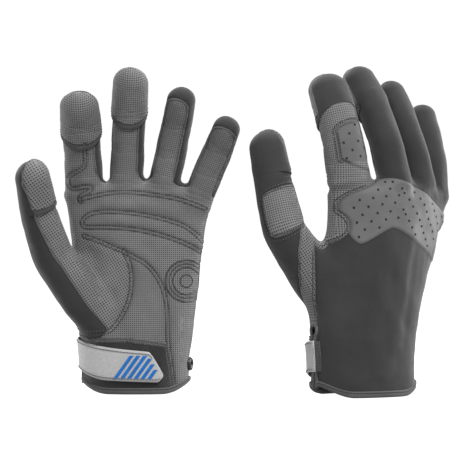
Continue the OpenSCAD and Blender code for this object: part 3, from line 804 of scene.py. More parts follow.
class Nodes:
    """Short names for the shader nodes a material is made of."""

    def __init__(self, name):
        self.m = bpy.data.materials.new(name)
        self.m.use_nodes = True
        self.t = self.m.node_tree
        self.bsdf = self.t.nodes["Principled BSDF"]

    def put(self, socket, value):
        if hasattr(value, "is_linked"):
            self.t.links.new(value, socket)
        else:
            socket.default_value = value

    def node(self, kind, inputs=(), out=0, **settings):
        n = self.t.nodes.new(kind)
        for k, v in settings.items():
            setattr(n, k, v)
        for k, v in dict(inputs).items():
            self.put(n.inputs[k], v)
        return n.outputs[out]

    def grime_and_painted_shade(self, depth=0.42):
        """Darker along seams and in creases, by the piece's own attribute: painted shade, with some grime."""
        n = self.t.nodes.new("ShaderNodeAttribute")
        n.attribute_name = "seam"
        return self.math("MULTIPLY_ADD", n.outputs["Fac"], -depth, 1.0)

    def math(self, op, *v, clamp=False):
        return self.node("ShaderNodeMath", enumerate(v), operation=op, use_clamp=clamp)

    def uv(self, turn=0.0, size=1.0):
        """The sewn-flat coordinates of the piece in millimetres, turned and divided by a pitch."""
        v = self.node("ShaderNodeUVMap", uv_map="mm")
        v = self.node("ShaderNodeMapping", {0: v, 2: (0, 0, np.radians(turn)), 3: (1 / size, 1 / size, 1)})
        x = self.node("ShaderNodeSeparateXYZ", {0: v})
        return v, x.node.outputs[0], x.node.outputs[1]

    def noise(self, vector, scale, detail=2.0, rough=0.5):
        return self.node("ShaderNodeTexNoise", {"Vector": vector, "Scale": scale, "Detail": detail, "Roughness": rough})

    def object(self):
        c = self.node("ShaderNodeTexCoord")
        return c.node.outputs["Object"]

    def ramp(self, value, low, high, a=0.0, b=1.0):
        return self.node(
            "ShaderNodeMapRange", {0: value, 1: low, 2: high, 3: a, 4: b}, interpolation_type="SMOOTHSTEP"
        )

    def mix(self, f, a, b):
        n = self.t.nodes.new("ShaderNodeMix")
        n.data_type = "RGBA"
        self.put(n.inputs[0], f)
        self.put(n.inputs[6], a)
        self.put(n.inputs[7], b)
        return n.outputs[2]

    def shade(self, colour, f):
        """colour multiplied by the value f."""
        n = self.t.nodes.new("ShaderNodeVectorMath")
        n.operation = "SCALE"
        self.put(n.inputs[0], colour if hasattr(colour, "is_linked") else colour[:3])
        self.put(n.inputs["Scale"], f)
        return n.outputs[0]

    def wave(self, x):
        """0 to 1 once per unit of x."""
        return self.math("MULTIPLY_ADD", self.math("COSINE", self.math("MULTIPLY", x, 6.2832)), 0.5, 0.5)

    def finish(self, colour, rough, height=None, depth=0.0003, sheen=0.0, spec=0.35, metal=0.0, tint=None):
        b = self.bsdf.inputs
        self.put(b["Base Color"], colour)
        self.put(b["Roughness"], rough)
        b["Specular IOR Level"].default_value = spec
        b["Metallic"].default_value = metal
        b["Sheen Weight"].default_value = sheen
        b["Sheen Roughness"].default_value = 0.45
        if tint:
            b["Sheen Tint"].default_value = tint
        if height is not None:
            n = self.node("ShaderNodeBump", {"Height": height, "Distance": depth, "Strength": 1.0})
            self.put(b["Normal"], n)
        return self.m


def weave_material(name, base, dark, pitch, turn=0.0, low=0.3, high=0.8, depth=0.00022, hold=0.75):
    m = Nodes(name)
    v, x, y = m.uv(turn, pitch)
    cross = m.math("MULTIPLY", m.wave(x), m.wave(y))
    hole = m.ramp(cross, low, high)
    rib = m.math("MULTIPLY", m.math("ADD", m.wave(m.math("MULTIPLY", x, 3.0)), m.wave(m.math("MULTIPLY", y, 3.0))), 0.12)
    o = m.object()
    broad = m.noise(o, 38.0, 3.0)
    fine = m.noise(v, 3.1, 2.0)
    f = m.math("ADD", m.ramp(broad, 0.3, 0.7, 0.9, 1.09), m.ramp(fine, 0.3, 0.7, -0.05, 0.05))
    # darker along seams and in creases: painted shade with some grime
    f = m.math("MULTIPLY", f, m.grime_and_painted_shade())
    colour = m.shade(m.mix(m.math("MULTIPLY", hole, hold), base, dark), f)
    height = m.math("SUBTRACT", rib, hole)
    return m.finish(colour, m.ramp(broad, 0.3, 0.7, 0.62, 0.74), height, depth, sheen=0.12, spec=0.3)


def knit_material(name, base, size=0.55, sheen=0.35, depth=0.00007, pile=0.0):
    m = Nodes(name)
    v, x, y = m.uv(0, size)
    rows = m.math("MULTIPLY", m.wave(y), m.wave(m.math("MULTIPLY_ADD", y, 0.5, x)))
    o = m.object()
    broad = m.noise(o, 26.0, 3.0)
    fuzz = m.noise(o, 2600.0, 3.0, 0.7)
    f = m.math("ADD", m.ramp(broad, 0.3, 0.7, 0.88, 1.12), m.ramp(fuzz, 0.35, 0.65, -0.14, 0.14))
    # darker along seams and in creases: painted shade with some grime
    colour = m.shade(base, m.math("MULTIPLY", f, m.grime_and_painted_shade(0.35)))
    height = m.math("ADD", m.math("MULTIPLY", rows, 1.0 - pile), m.math("MULTIPLY", fuzz, 0.9 + 2 * pile))
    return m.finish(colour, 0.82, height, depth * (1 + 4 * pile), sheen=sheen, spec=0.2, tint=(0.8, 0.8, 0.82, 1))


def perforated_material(name, base):
    m = Nodes(name)
    v, x, y = m.uv(0, 1.0)
    o = m.object()
    grain = m.node("ShaderNodeTexVoronoi", {"Vector": o, "Scale": 1500.0}, feature="SMOOTH_F1")
    broad = m.noise(o, 30.0, 3.0)
    fibre = m.noise(o, 900.0, 4.0, 0.6)
    f = m.math("ADD", m.ramp(broad, 0.3, 0.7, 0.92, 1.07), m.ramp(fibre, 0.3, 0.7, -0.06, 0.06))
    height = m.math("ADD", grain, m.math("MULTIPLY", fibre, 0.6))
    # darker along seams and in creases: painted shade with some grime
    f = m.math("MULTIPLY", f, m.grime_and_painted_shade(0.35))
    return m.finish(m.shade(base, f), m.ramp(fibre, 0.3, 0.7, 0.5, 0.66), height, 0.00008, sheen=0.08)


def twill_material(name, base, dark, pitch=0.9, turn=45.0, depth=0.00012):
    m = Nodes(name)
    v, x, y = m.uv(turn, pitch)
    bars = m.wave(x)
    cuts = m.wave(m.math("MULTIPLY", y, 0.5))
    h = m.math("MULTIPLY", bars, m.math("MULTIPLY_ADD", cuts, 0.35, 0.65))
    o = m.object()
    broad = m.noise(o, 60.0, 3.0)
    f = m.ramp(broad, 0.3, 0.7, 0.88, 1.1)
    return m.finish(m.shade(m.mix(h, dark, base), f), 0.78, h, depth, sheen=0.2, spec=0.25)


def strap_material(name, base):
    m = Nodes(name)
    o = m.object()
    broad = m.noise(o, 55.0, 4.0)
    fine = m.noise(o, 3200.0, 2.0)
    streak = m.noise(m.node("ShaderNodeMapping", {0: o, 3: (60, 60, 900)}), 1.0, 3.0)
    grain = m.noise(o, 900.0, 4.0, 0.7)
    f = m.math("ADD", m.ramp(broad, 0.3, 0.7, 0.95, 1.04), m.ramp(streak, 0.3, 0.7, -0.02, 0.02))
    f = m.math("MULTIPLY", f, m.ramp(grain, 0.3, 0.7, 0.88, 1.1))
    return m.finish(m.shade(base, f), m.ramp(broad, 0.3, 0.7, 0.5, 0.64), m.math("ADD", fine, grain), 0.00007, spec=0.35)


def print_material(name, base):
    m = Nodes(name)
    o = m.object()
    broad = m.noise(o, 180.0, 4.0)
    fine = m.noise(o, 2400.0, 2.0)
    f = m.ramp(broad, 0.3, 0.7, 0.9, 1.08)
    return m.finish(m.shade(base, f), m.ramp(fine, 0.3, 0.7, 0.36, 0.5), fine, 0.00003, spec=0.5)


def thread_material(name, base):
    m = Nodes(name)
    o = m.object()
    ply = m.noise(o, 1400.0, 2.0)
    return m.finish(m.shade(base, m.ramp(ply, 0.3, 0.7, 0.75, 1.2)), 0.7, ply, 0.00005, sheen=0.25)


def snap_material(name, base):
    m = Nodes(name)
    o = m.object()
    wear = m.noise(o, 420.0, 4.0, 0.6)
    return m.finish(
        m.mix(m.ramp(wear, 0.55, 0.75), base, srgb(46)), m.ramp(wear, 0.3, 0.7, 0.22, 0.42), wear, 0.00003, spec=0.6
    )


MATERIALS = {
    "weave": (weave_material("palm_weave", srgb(124), srgb(14), 1.45, 0, 0.2, 0.66, hold=0.9), "palm_weave"),
    "coarse_web": (weave_material("web_weave", srgb(124), srgb(14), 1.6, 0, 0.2, 0.66, hold=0.9), "palm_weave"),
    "rubber": (print_material("badge_rubber", srgb(58)), "print"),
    "coarse": (weave_material("coarse_weave", srgb(124), srgb(12), 1.75, 0, 0.18, 0.62, hold=0.92), "palm_weave"),
    "finger_weave": (weave_material("finger_weave", srgb(120), srgb(14), 1.45, 0, 0.2, 0.66, hold=0.9), "palm_weave"),
    "foam": (knit_material("neoprene_knit", srgb(56)), "neoprene"),
    "tip": (knit_material("fingertip_knit", srgb(58), 0.5, 0.2), "neoprene"),
    "lining": (knit_material("lining_knit", srgb(38), 0.7, 0.15), "neoprene"),
    "dots": (perforated_material("perforated_panel", srgb(96)), "perforated"),
    "hole": (knit_material("panel_hole", srgb(44), 0.5, 0.0), "perforated"),
    "binding": (twill_material("binding_twill", srgb(118), srgb(66)), "binding"),
    "hem": (twill_material("hem_twill", srgb(98), srgb(56), 0.8), "binding"),
    "piping": (twill_material("piping_twill", srgb(120), srgb(74), 0.7), "binding"),
    "loop": (knit_material("loop_pile", srgb(50), 0.8, 0.5, 0.0001, 0.8), "loop_pile"),
    "strap": (strap_material("strap_face", srgb(186)), "strap"),
    "stripe": (print_material("strap_print", srgb(0, 108, 190)), "print"),
    "snap": (snap_material("snap_black", srgb(16)), "snap"),
    # The dark and mid thread colours serve the real stitches and also the cords of painted groove shade laid under
    # them.
    "dark_thread_and_groove_shade": (thread_material("dark_thread_and_groove_shade", srgb(48)), "binding"),
    "mid_thread_and_groove_shade": (thread_material("mid_thread_and_groove_shade", srgb(100)), "binding"),
    "thread_light": (thread_material("thread_light", srgb(186)), "strap"),
}


# ---------------------------------------------------------------- pieces
LEAN = 33.0  # how far the ball of the thumb's weave is turned, in degrees
SWELL = 1.4  # how far the padding stands proud between seams, in millimetres


def piece(name, g, v, f, material, ride, uv=None, normals=None, replaces=(), shade=None):
    """A mesh in the row frame: v in hand millimetres, ride a body; with a ride of (body, body, start, end) the piece is
    baked in place and rides no body.
    """
    if g == 0:
        f = f[:, ::-1]
        uv = uv[:, ::-1] if uv is not None else None
    name = f"{SIDES[g]}_{name}"
    mesh = bpy.data.meshes.new(name)
    mesh.from_pydata(to_world(g, v), [], f.tolist())
    layer = mesh.uv_layers.new(name="mm")
    if uv is None:
        w = v[f]
        uv = np.stack([w[..., 0] + w[..., 1], w[..., 2]], -1)
    layer.data.foreach_set("uv", uv.reshape(-1).astype(np.float32))
    mesh.polygons.foreach_set("use_smooth", np.ones(len(f), bool))
    mesh.update()
    if normals is not None:
        mesh.normals_split_custom_set_from_vertices(to_world(g, normals, True))
    # shade holds painted shade with some grime along seams and creases; the materials darken the colour by it
    if shade is not None:
        mesh.attributes.new("seam", "FLOAT", "POINT").data.foreach_set("value", shade.astype(np.float32))
    m, slot = MATERIALS[material]
    mesh.materials.append(m)
    obj = bpy.data.objects.new(name, mesh)
    bpy.context.scene.collection.objects.link(obj)
    if isinstance(ride, str):
        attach(obj, f"{SIDES[g]}_{ride}")
    else:
        before, after, start, end = ride
        ends = to_world(g, np.array([start, end]))
        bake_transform(obj)
    if replaces:
        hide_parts(*[f"{SIDES[g]}_{n}" for n in replaces])
    return obj


def knee_zone(g, n):
    d = DIGITS[g][n]
    half = 11 if n == "thumb" else 9
    c = d.at(np.array([d.bones[0] - half, d.bones[0] + half], float))[0]
    return ("hand", n, c[0], c[1])


def fold_zone(g, n):
    """Where the back of a digit turns into its hood."""
    d = DIGITS[g][n]
    t = np.array([-1.6, 1.6]) + d.reach - HOOD_BACK[n]
    c, y, _ = d.at(t)
    p = c - y * np.interp(t, d.t, d.deep)[:, None]
    return (n, n + "_hood", p[0], p[1])


def split_all(v, f, cols):
    """Cuts the mesh along the zero line of every column in turn."""
    for k in range(cols.shape[1]):
        both = np.hstack([v, cols])
        both, f = split(both, f, cols[:, k])
        v, cols = both[:, :3], both[:, 3:].copy()
        cols[abs(cols[:, k]) < 0.06, k] = 0
    return v, f, cols


def step(x, width):
    return smooth(x / width * 0.5 + 0.5)


def outward(v, f):
    """Turns the triangles so that they enclose a positive volume."""
    vol = np.einsum("ij,ij->i", v[f[:, 0]], np.cross(v[f[:, 1]], v[f[:, 2]])).sum()
    return f if vol > 0 else f[:, ::-1]


def groove(d, width):
    return np.exp(-((d / width) ** 2))


def swelling():
    """The plain shells blown out a little between their sewn lines, by cloth simulation.
    Returns for each glove the points of a coarse shell and how far each moved outward."""
    scene, shells = bpy.context.scene, []
    for g in (0, 1):
        v, f = surface_nets(g, 3.6)
        for _ in range(3):
            v = 0.5 * v + 0.5 * neighbours_mean(v, f)
        v = project(g, v)
        a = attributes(g, v)
        lines = seams(g, a)
        near = np.minimum(np.min(list(lines.values()), 0), abs(weave(g, a)))
        hood = np.max([a[n]["t"] - hem_of(g, a, n) for n in HOOD], 0)
        held = (near < 2.6) | (a["z"] < 12) | (abs(hood) < 2.5)
        mesh = bpy.data.meshes.new("shell")
        mesh.from_pydata((v / 1000).tolist(), [], f.tolist())
        obj = bpy.data.objects.new("shell", mesh)
        scene.collection.objects.link(obj)
        group = obj.vertex_groups.new(name="held")
        group.add(np.flatnonzero(held).tolist(), 1.0, "REPLACE")
        cloth = obj.modifiers.new("cloth", "CLOTH")
        s = cloth.settings
        s.quality, s.mass = 4, 0.2
        s.tension_stiffness = s.compression_stiffness = 12.0
        s.shear_stiffness, s.bending_stiffness = 4.0, 0.8
        s.use_pressure, s.uniform_pressure_force = True, 4.0
        s.vertex_group_mass = "held"
        s.effector_weights.gravity = 0.0
        cloth.collision_settings.use_collision = False
        cloth.point_cache.frame_start, cloth.point_cache.frame_end = 1, 20
        shells.append((obj, v, vertex_normals(v, f)))
    for frame_number in range(1, 21):
        scene.frame_set(frame_number)
    out = []
    for obj, v, n in shells:
        moved = obj.evaluated_get(bpy.context.evaluated_depsgraph_get()).to_mesh()
        q = np.empty(len(v) * 3, np.float32)
        moved.vertices.foreach_get("co", q)
        far = ((q.reshape(-1, 3) * 1000 - v) * n).sum(1)
        far = np.clip(far / max(np.percentile(far, 92), 1e-6), 0, 1.15) * SWELL
        obj.to_mesh_clear()
        bpy.data.objects.remove(obj)
        out.append((v, far))
    scene.frame_set(1)
    return out


def spread(coarse, v):
    """The coarse shell's movement at the points v, from the nearest of its points."""
    points, far = coarse
    tree = KDTree(len(points))
    for i, p in enumerate(points):
        tree.insert(p, i)
    tree.balance()
    out = np.empty(len(v))
    for i, p in enumerate(v):
        total = weight = 0.0
        for _, j, d in tree.find_n(p, 6):
            k = max(1e-3, 7.5 - d) ** 2
            total, weight = total + k * far[j], weight + k
        out[i] = total / weight
    return out


def relief(g, a, w, p, lines, v, swell):
    """How far the sewn panels, seams and creases stand off the plain form."""
    palm = np.where(a["y"] > 0, 1.0, 0.0)
    off_hand = smooth((a["hand"] + 1) / 4)
    on = palm * (1 - smooth((a["hand"] - 0.5) / 2))
    bar = outline(a["xc"], a["z"], BAR)
    heel = outline(a["xc"], a["z"], [(q, z) for q, z in THENAR[:7]] + [(-18, 30), (-18, 2)] + HEEL[::-1])
    cover = np.max([a[n]["t"] - hem_of(g, a, n) for n in HOOD], 0)
    out = on * (0.5 * step(bar, 2.2) + 0.3 * step(heel, 2.0)) + swell * (1 - 0.8 * smooth((cover + 4) / 8))
    for k, d in lines.items():
        far = np.where(k == "meander", 1.0, on)
        out -= (0.75 * groove(abs(d - 1.3), 0.6) + 0.15 * groove(d, 0.8)) * far
    for k, h in (("knuckle", 0.7), ("dee", 0.7), ("patch", 0.7), ("loop", 0.2)):
        out += h * step(p[k], 1.6) - 0.35 * groove(p[k], 0.7)
    out -= 0.55 * groove(w, 0.9)
    out += 0.22 * ripple(v, 11 + g, 26) + 0.08 * ripple(v, 21 + g, 9)
    for n in NAMES:
        d = DIGITS[g][n]
        b = a[n]
        mine = smooth((-b["d"] + 1.5) / 2 + 0.5) if n == "thumb" else smooth(1 - abs(b["d"]) / 3)
        inner = smooth(b["q"] / 6 + 0.5)
        for i, t0 in enumerate((d.bones[0], d.bones[0] + d.bones[1])):
            for k, shift in enumerate((-2.6, 0.4, 3.1)):
                u = b["t"] - t0 - shift - 0.9 * np.sin(b["u"] * 0.35 + i + k + g)
                out -= (0.5, 0.3, 0.42)[k] * mine * inner * groove(u, 0.9)
        if n in FINGERS:
            for k, shift in enumerate((3.0, 6.2)):
                u = b["t"] - shift - 0.8 * np.sin(b["u"] * 0.3 + k)
                out -= 0.5 * mine * inner * groove(u, 0.9)
    return out


def seam_shade(a, w, p, lines, where):
    """0 to 1: grime and painted shade gathered in the seams and creases, which darkens the colour."""
    on = np.where(a["y"] > 0, 1.0, 0.0) * (1 - smooth((a["hand"] - 0.5) / 2))
    out = 0.8 * groove(w, 1.3)
    for k, d in lines.items():
        out = np.maximum(out, np.where(k == "meander", 0.9, 0.9 * on) * groove(abs(d - 1.3), 0.75))
        out = np.maximum(out, np.where(k == "meander", 0.3, 0.3 * on) * groove(d, 4.0))
    for k in ("knuckle", "dee", "patch", "loop"):
        out = np.maximum(out, 0.9 * groove(p[k], 0.8))
    # the palm is also darker in the band between the badge's rings
    x0 = 38.6
    ring = np.hypot(a["xc"] - x0, a["z"] - 81)
    out = np.maximum(out, on * 0.4 * smooth((ring - 9.6) / 0.8) * smooth((15.2 - ring) / 0.8))
    for n in FINGERS:
        d = a[n]
        crotch = smooth((14 - abs(d["t"])) / 12) * smooth(1 - abs(d["d"]) / 6)
        out = np.maximum(out, 0.35 * crotch * groove(np.minimum(abs(d["t"] - 3.0), abs(d["t"] - 6.2)), 0.9))
    return np.clip(out, 0, 1)


def corner_uv(g, a, f, digit, tri, face=0):
    """Flat coordinates in millimetres for each corner of the triangles tri.
    face is 1 or -1 to lay the palm or the back side flat, or 0 to unroll by angle."""
    idx = f[tri]
    if digit is None and face:
        turned = np.sign(a["s"]) * smooth((abs(a["s"]) - 0.55) / 0.4)
        return np.stack([(a["xc"] + turned * (0.85 * a["b"] - a["y"] * face))[idx], a["z"][idx]], -1)
    if digit is None:
        return np.stack([a["arc"][idx], a["z"][idx]], -1)
    b, d = a[digit], DIGITS[g][digit]
    if face:
        q = b["q"] * face
        wide = d.wide.mean()
        x = wide * np.arcsin(np.clip(b["u"] / wide, -0.97, 0.97)) + np.sign(b["u"]) * np.maximum(0, -q)
        over = np.maximum(0, b["t"] - d.t[-1]) / d.tip
        y = np.minimum(b["t"], d.t[-1]) + d.tip * np.arcsin(np.clip(over, 0, 0.98))
        return np.stack([x[idx], y[idx]], -1)
    phi = b["phi"][idx]
    mid = np.degrees(np.angle(np.exp(1j * np.radians(phi)).mean(1)))
    mid = np.where(mid < -90, mid + 360, mid)
    phi = mid[:, None] + (phi - mid[:, None] + 180) % 360 - 180
    r = float(np.median(b["r"][idx]))
    return np.stack([(phi - 90) * np.pi / 180 * r, b["t"][idx]], -1)


def boxed(v, f, turn):
    """Flat coordinates in millimetres by each face's steepest axis, in a frame turned about y."""
    c, s = np.cos(np.radians(turn)), np.sin(np.radians(turn))
    q = np.stack([v[:, 0] * c + v[:, 2] * s, v[:, 1], v[:, 2] * c - v[:, 0] * s], -1)[f]
    n = abs(np.cross(q[:, 1] - q[:, 0], q[:, 2] - q[:, 0])) * (1.0, 1.3, 0.8)
    axis = n.argmax(1)[:, None, None]
    return np.where(axis == 1, q[..., [0, 2]], np.where(axis == 0, q[..., [1, 2]], q[..., [0, 1]]))


def layer(name, g, v, n, f, uv, tri, material, ride, thick, replaces=(), out=0.0, shade=None):
    """A closed sheet cut from the glove's surface."""
    sub = f[tri]
    used = np.unique(sub)
    back = np.full(len(v), -1)
    back[used] = np.arange(len(used))
    out = np.broadcast_to(out, len(v))[used]
    fv, vv, nn = back[sub], v[used] + n[used] * out[:, None], n[used]
    sv, sf = thicken(vv, fv, nn, np.full(len(vv), float(thick)))
    m = len(fv)
    corner = np.zeros((len(vv), 2))
    corner[fv.reshape(-1)] = uv.reshape(-1, 2)
    suv = np.concatenate([uv, uv[:, ::-1], corner[sf[2 * m :] % len(vv)]])
    sn = np.vstack([nn, -nn])
    # the painted seam shade with some grime, on both sides of the sheet
    grime_and_shade = None if shade is None else np.tile(shade[used], 2)
    return piece(name, g, sv, sf, material, ride, suv, sn, replaces, grime_and_shade)


def beads(name, g, runs, material, ride, **how):
    parts = []
    for p, n in runs:
        parts += stitches(p, n, **how)
    if parts:
        v, f = join(parts)
        return piece(name, g, v, f, material, ride)
    return None


def cord(name, g, runs, material, ride, section, step_mm=1.2, taper=6.0):
    parts = []
    for p, n in runs:
        got = resample(p, n, step_mm)
        if got is None:
            continue
        q, m = got
        loop = np.linalg.norm(p[0] - p[-1]) < 0.5 and len(p) > 20
        scale = None
        if not loop:
            d = np.arange(len(q)) * step_mm
            scale = np.clip(np.minimum(d, d[::-1]) / taper, 0.15, 1) ** 0.5
        w, t = sweep(q, m, section, loop, scale)
        parts.append((w, outward(w - w.mean(0), t)))
    if parts:
        v, f = join(parts)
        return piece(name, g, v, f, material, ride)
    return None


def clip_runs(runs, v, n, keep, shift=0.0, least=6.0):
    """Runs of points with their normals, cut to where keep is positive."""
    out = []
    for run in runs:
        p, m, k = along(run, v), along(run, n), along(run, keep)
        p = p + m * shift
        good = k > 0
        edges = np.flatnonzero(np.diff(np.concatenate([[0], good.astype(int), [0]])))
        for a, b in zip(edges[::2], edges[1::2]):
            q = p[a:b]
            if len(q) > 3 and np.linalg.norm(np.diff(q, axis=0), axis=1).sum() > least:
                out.append((q, m[a:b]))
    return out


def slit_keep(g, v, a):
    """Positive outside the cuff slit and above the hem."""
    rise = hem_rise(a["s"])
    z = np.where(v[:, 2] < 40, (v[:, 2] - rise) / (1 - rise / 40), v[:, 2])
    near = a["s"] < -0.4
    y, up = abs(v[:, 1]), v[:, 2]
    bar = np.maximum(y - 2.1, up - 47)
    ring = np.hypot(v[:, 1], up - 47) - 4.1
    return np.minimum(z - 2.2, np.where(near, np.minimum(bar, ring), 50))


def build(g):
    h = 1.15
    v, f = surface_nets(g, h)
    for _ in range(3):
        v = 0.5 * v + 0.5 * neighbours_mean(v, f)
    v = project(g, v)
    a = attributes(g, v)
    w, p = weave(g, a), patches(g, a)
    others = np.minimum(a["hand"], np.min([a[n]["d"] for n in FINGERS], 0))
    p["patch"] = np.minimum(p["patch"], others - a["thumb"]["d"] + 1)
    p["dee"] = np.minimum(p["dee"], np.minimum(a["middle"]["d"], a["hand"] + 2.5) - a["index"]["d"] + 1)
    p["patch"], p["dee"] = np.minimum(p["patch"], -w), np.minimum(p["dee"], w + 1)
    p["loop"] = np.minimum(p["loop"], a["thumb"]["d"] - 1.5)
    web = np.minimum(-2 - a["y0"] + 0.12 * (a["z"] - 110), np.where(a["s"] < 0, 9, -9))
    front = np.minimum(outline(a["xc"], a["z"], FRONT, 1), 8 - web)
    cols = [slit_keep(g, v, a), w, p["knuckle"], p["loop"], p["dee"], p["patch"], front, web]
    names = ["keep", "weave", "knuckle", "loop", "dee", "patch", "front", "web"]
    for n in NAMES:
        cols.append(finger_region(a, n))
        names.append("on_" + n)
    for n in HOOD:
        d, t = DIGITS[g][n], a[n]["t"]
        mine = np.minimum(15, np.min([a[m]["d"] for m in NAMES if m != n], 0) - a[n]["d"] + 3)
        inner = smooth((np.sin(np.radians(a[n]["phi"])) + 0.45) / 0.5)
        cols.append(np.minimum(t - (d.reach - HOOD_BACK[n] + 2.65 * inner - 0.15), mine))
        cols.append(np.minimum(t - hem_of(g, a, n), mine))
        cols.append(np.minimum(t - hem_of(g, a, n) - 4.4, mine))
        cols.append(sector(a, n, -12, 192))
        past = t - (d.reach - HOOD_BACK[n])
        cols.append(np.min([past + 4.5, 3.6 - past, -a[n]["q"] - 0.3 * d.deep.mean(), mine], 0))
        names += [k + n for k in ("sleeve_", "hood_", "band_", "wrap_", "fold_")]
    v, f, cols = split_all(v, f, np.stack(cols, 1))
    c = {n: cols[:, i] for i, n in enumerate(names)}
    f = f[cols[f, 0].sum(1) > 0]
    a = attributes(g, v)
    w, lines = c["weave"], seams(g, a)
    for n in ("index", "middle"):
        w = np.where(c["hood_" + n] > 0, 9.0 + 0 * w, w)
    p = {k: c[k] for k in ("knuckle", "loop", "dee", "patch")}
    n0 = vertex_normals(v, f)
    swell = spread(SHELLS[g], v)
    v = v + n0 * relief(g, a, w, p, lines, v, swell)[:, None]
    n0 = vertex_normals(v, f)
    side = {k: c[k][f].sum(1) > 0 for k in names}
    where = {n: np.minimum(c["on_" + n], 3) for n in NAMES}
    nobody = -np.max([where[n] for n in NAMES], 0)
    # painted shade with some grime along the seams and creases, which darkens the colour
    shade = seam_shade(a, w, p, lines, where)
    rise = {}
    for n in HOOD:
        # painted shade on the finger just below each hood's hem, where the hem overhangs
        shade = np.maximum(shade, 0.8 * groove(c["hood_" + n] + 1.6, 1.3) * (c["wrap_" + n] > 0))
        low = 0.45 if n == "index" else 0.08
        rise[n] = low + (1.55 - low) * smooth((np.sin(np.radians(a[n]["phi"])) + 0.5) / 0.7)

    digit = np.full(len(f), -1)
    for i, n in enumerate(NAMES):
        digit[side["on_" + n]] = i
    tri = np.arange(len(f))
    hand = digit < 0
    woven = side["weave"]

    def sheet(name, mask, material, ride, thick, d=None, replaces=(), out=0.0, turn=None, face=0):
        t = tri[mask]
        if len(t) == 0:
            return
        uv = corner_uv(g, a, f, d, t, face) if turn is None else boxed(v, f[t], turn)
        layer(name, g, v, n0, f, uv, t, material, ride, thick, replaces, out, shade)

    plain = hand & woven & ~side["loop"] & ~side["front"]
    sheet("palm", plain & ~side["web"], "weave", "hand", 1.2, None, ("palm_panel", "palm_bar", "heel_patch"), turn=0)
    sheet("web", plain & side["web"], "coarse_web", "hand", 1.2, None, ("web_patch",), turn=0)
    sheet("thenar", hand & woven & ~side["loop"] & side["front"], "coarse", "hand", 1.2, None, (), turn=LEAN)
    sheet("back", hand & ~woven & ~side["knuckle"], "foam", "hand", 1.5, None, ("back_panel",), face=-1)
    sheet("knuckle", hand & side["knuckle"] & ~woven, "dots", "hand", 1.4, None, ("knuckle_panel",))
    sheet("loop", hand & side["loop"] & woven, "loop", "hand", 1.2, None, ("loop_patch",))
    for i, n in enumerate(NAMES):
        mine = digit == i
        zone = knee_zone(g, n)
        body = mine & ~side["sleeve_" + n] if n in HOOD else mine
        patch = side["dee"] if n == "index" else side["patch"] if n == "thumb" else np.zeros(len(f), bool)
        cloth = "coarse" if n == "thumb" else "finger_weave"
        lay = 0 if n in ("index", "thumb") else 1
        sheet(n + "_weave", body & woven & ~patch, cloth, zone, 1.0, n, [n + "_base", n + "_tube"], 0.0, LEAN if n == "thumb" else None, lay)
        sheet(n + "_foam", body & ~woven & ~patch, "foam", zone, 1.0, n, face=-lay)
        if patch.any():
            sheet(n + "_patch", body & patch, "dots" if n == "index" else "coarse_web", zone, 1.0, n, (n + "_patch",))
        if n in HOOD:
            cap, inner = mine & side["hood_" + n], side["wrap_" + n]
            if n == "thumb":
                inner = inner & woven
            band = cap & ~side["band_" + n] & inner
            top, body = woven if n == "thumb" else side["wrap_" + n], n + "_hood"
            sheet(n + "_hood", cap & ~band & top, cloth, body, 0.95, n, (n + "_cap",), rise[n], LEAN if n == "thumb" else None, 1)
            sheet(n + "_hood_back", cap & ~band & ~top, "foam", body, 0.95, n, (), rise[n], face=-1)
            sheet(n + "_hood_hem", band, "hem", body, 0.8, n, (), rise[n] - 0.25)
            sheet(n + "_hood_fold", mine & side["fold_" + n], "hem", fold_zone(g, n), 0.6, n, (), -0.2)

    def contour(value, level=0.0):
        return contours(v, f, value, level)

    def sewn(name, field, level, keep, material, ride, lift=0.0, painted_groove_cord=True, **how):
        runs = clip_runs(contour(field, level), v, n0, keep, lift)
        # painted shade: a dark cord laid under the stitches stands in for the shadow in the stitch groove
        if painted_groove_cord:
            cord(name + "_line", g, runs, "dark_thread_and_groove_shade", ride, rounded(0.75, 0.3), 1.4, 2.0)
        beads(name, g, runs, material, ride, **how)

    palm = np.minimum(nobody, a["y"])
    tight = {"pitch": 2.3, "long": 1.6, "r": 0.3}
    for tag in ("band", "bar", "heel", "thenar"):
        sewn(tag + "_stitches", lines[tag], 1.3, palm, "mid_thread_and_groove_shade", "hand", **tight)
    index = np.minimum(where["index"], -c["sleeve_index"])
    sewn("index_stitches", lines["meander"], 1.2, index, "mid_thread_and_groove_shade", knee_zone(g, "index"), **tight)
    sewn("index_root_stitches", lines["meander"], 1.2, np.minimum(nobody, a["y"] + 4), "mid_thread_and_groove_shade", "hand", **tight)
    for n, k in (("index", "dee"), ("thumb", "patch")):
        keep = np.minimum(where[n], -c["sleeve_" + n])
        if n == "thumb":
            keep = np.minimum(keep, 2.2 - c["weave"])
        for j, level in enumerate((1.3, -1.6)):
            sewn(f"{n}_patch_stitches_{j}", c[k], level, keep, "mid_thread_and_groove_shade", knee_zone(g, n), **tight)
    edge_of_web = np.minimum(np.minimum(nobody, 120 - a["z"] + 30), np.where(a["y0"] < 6, 1.0, -1.0))
    sewn("web_stitches", c["weave"], 1.8, np.minimum(edge_of_web, np.where((a["s"] < 0.1) & (a["z"] > 56), 1.0, -1.0)),
         "mid_thread_and_groove_shade", "hand", **tight)
    for n in NAMES:
        zone, limit = knee_zone(g, n), where[n]
        if n in HOOD:
            limit = np.minimum(limit, -c["sleeve_" + n])
        runs = clip_runs(contour(c["weave"]), v, n0, limit)
        cord(f"{n}_piping", g, runs, "piping", zone, rounded(1.3, 0.8))
        if n in HOOD:
            keep = np.minimum(where[n], c["wrap_" + n])
            if n == "thumb":
                keep = np.minimum(keep, c["weave"])
            for k, level in enumerate((0.7, 3.6)):
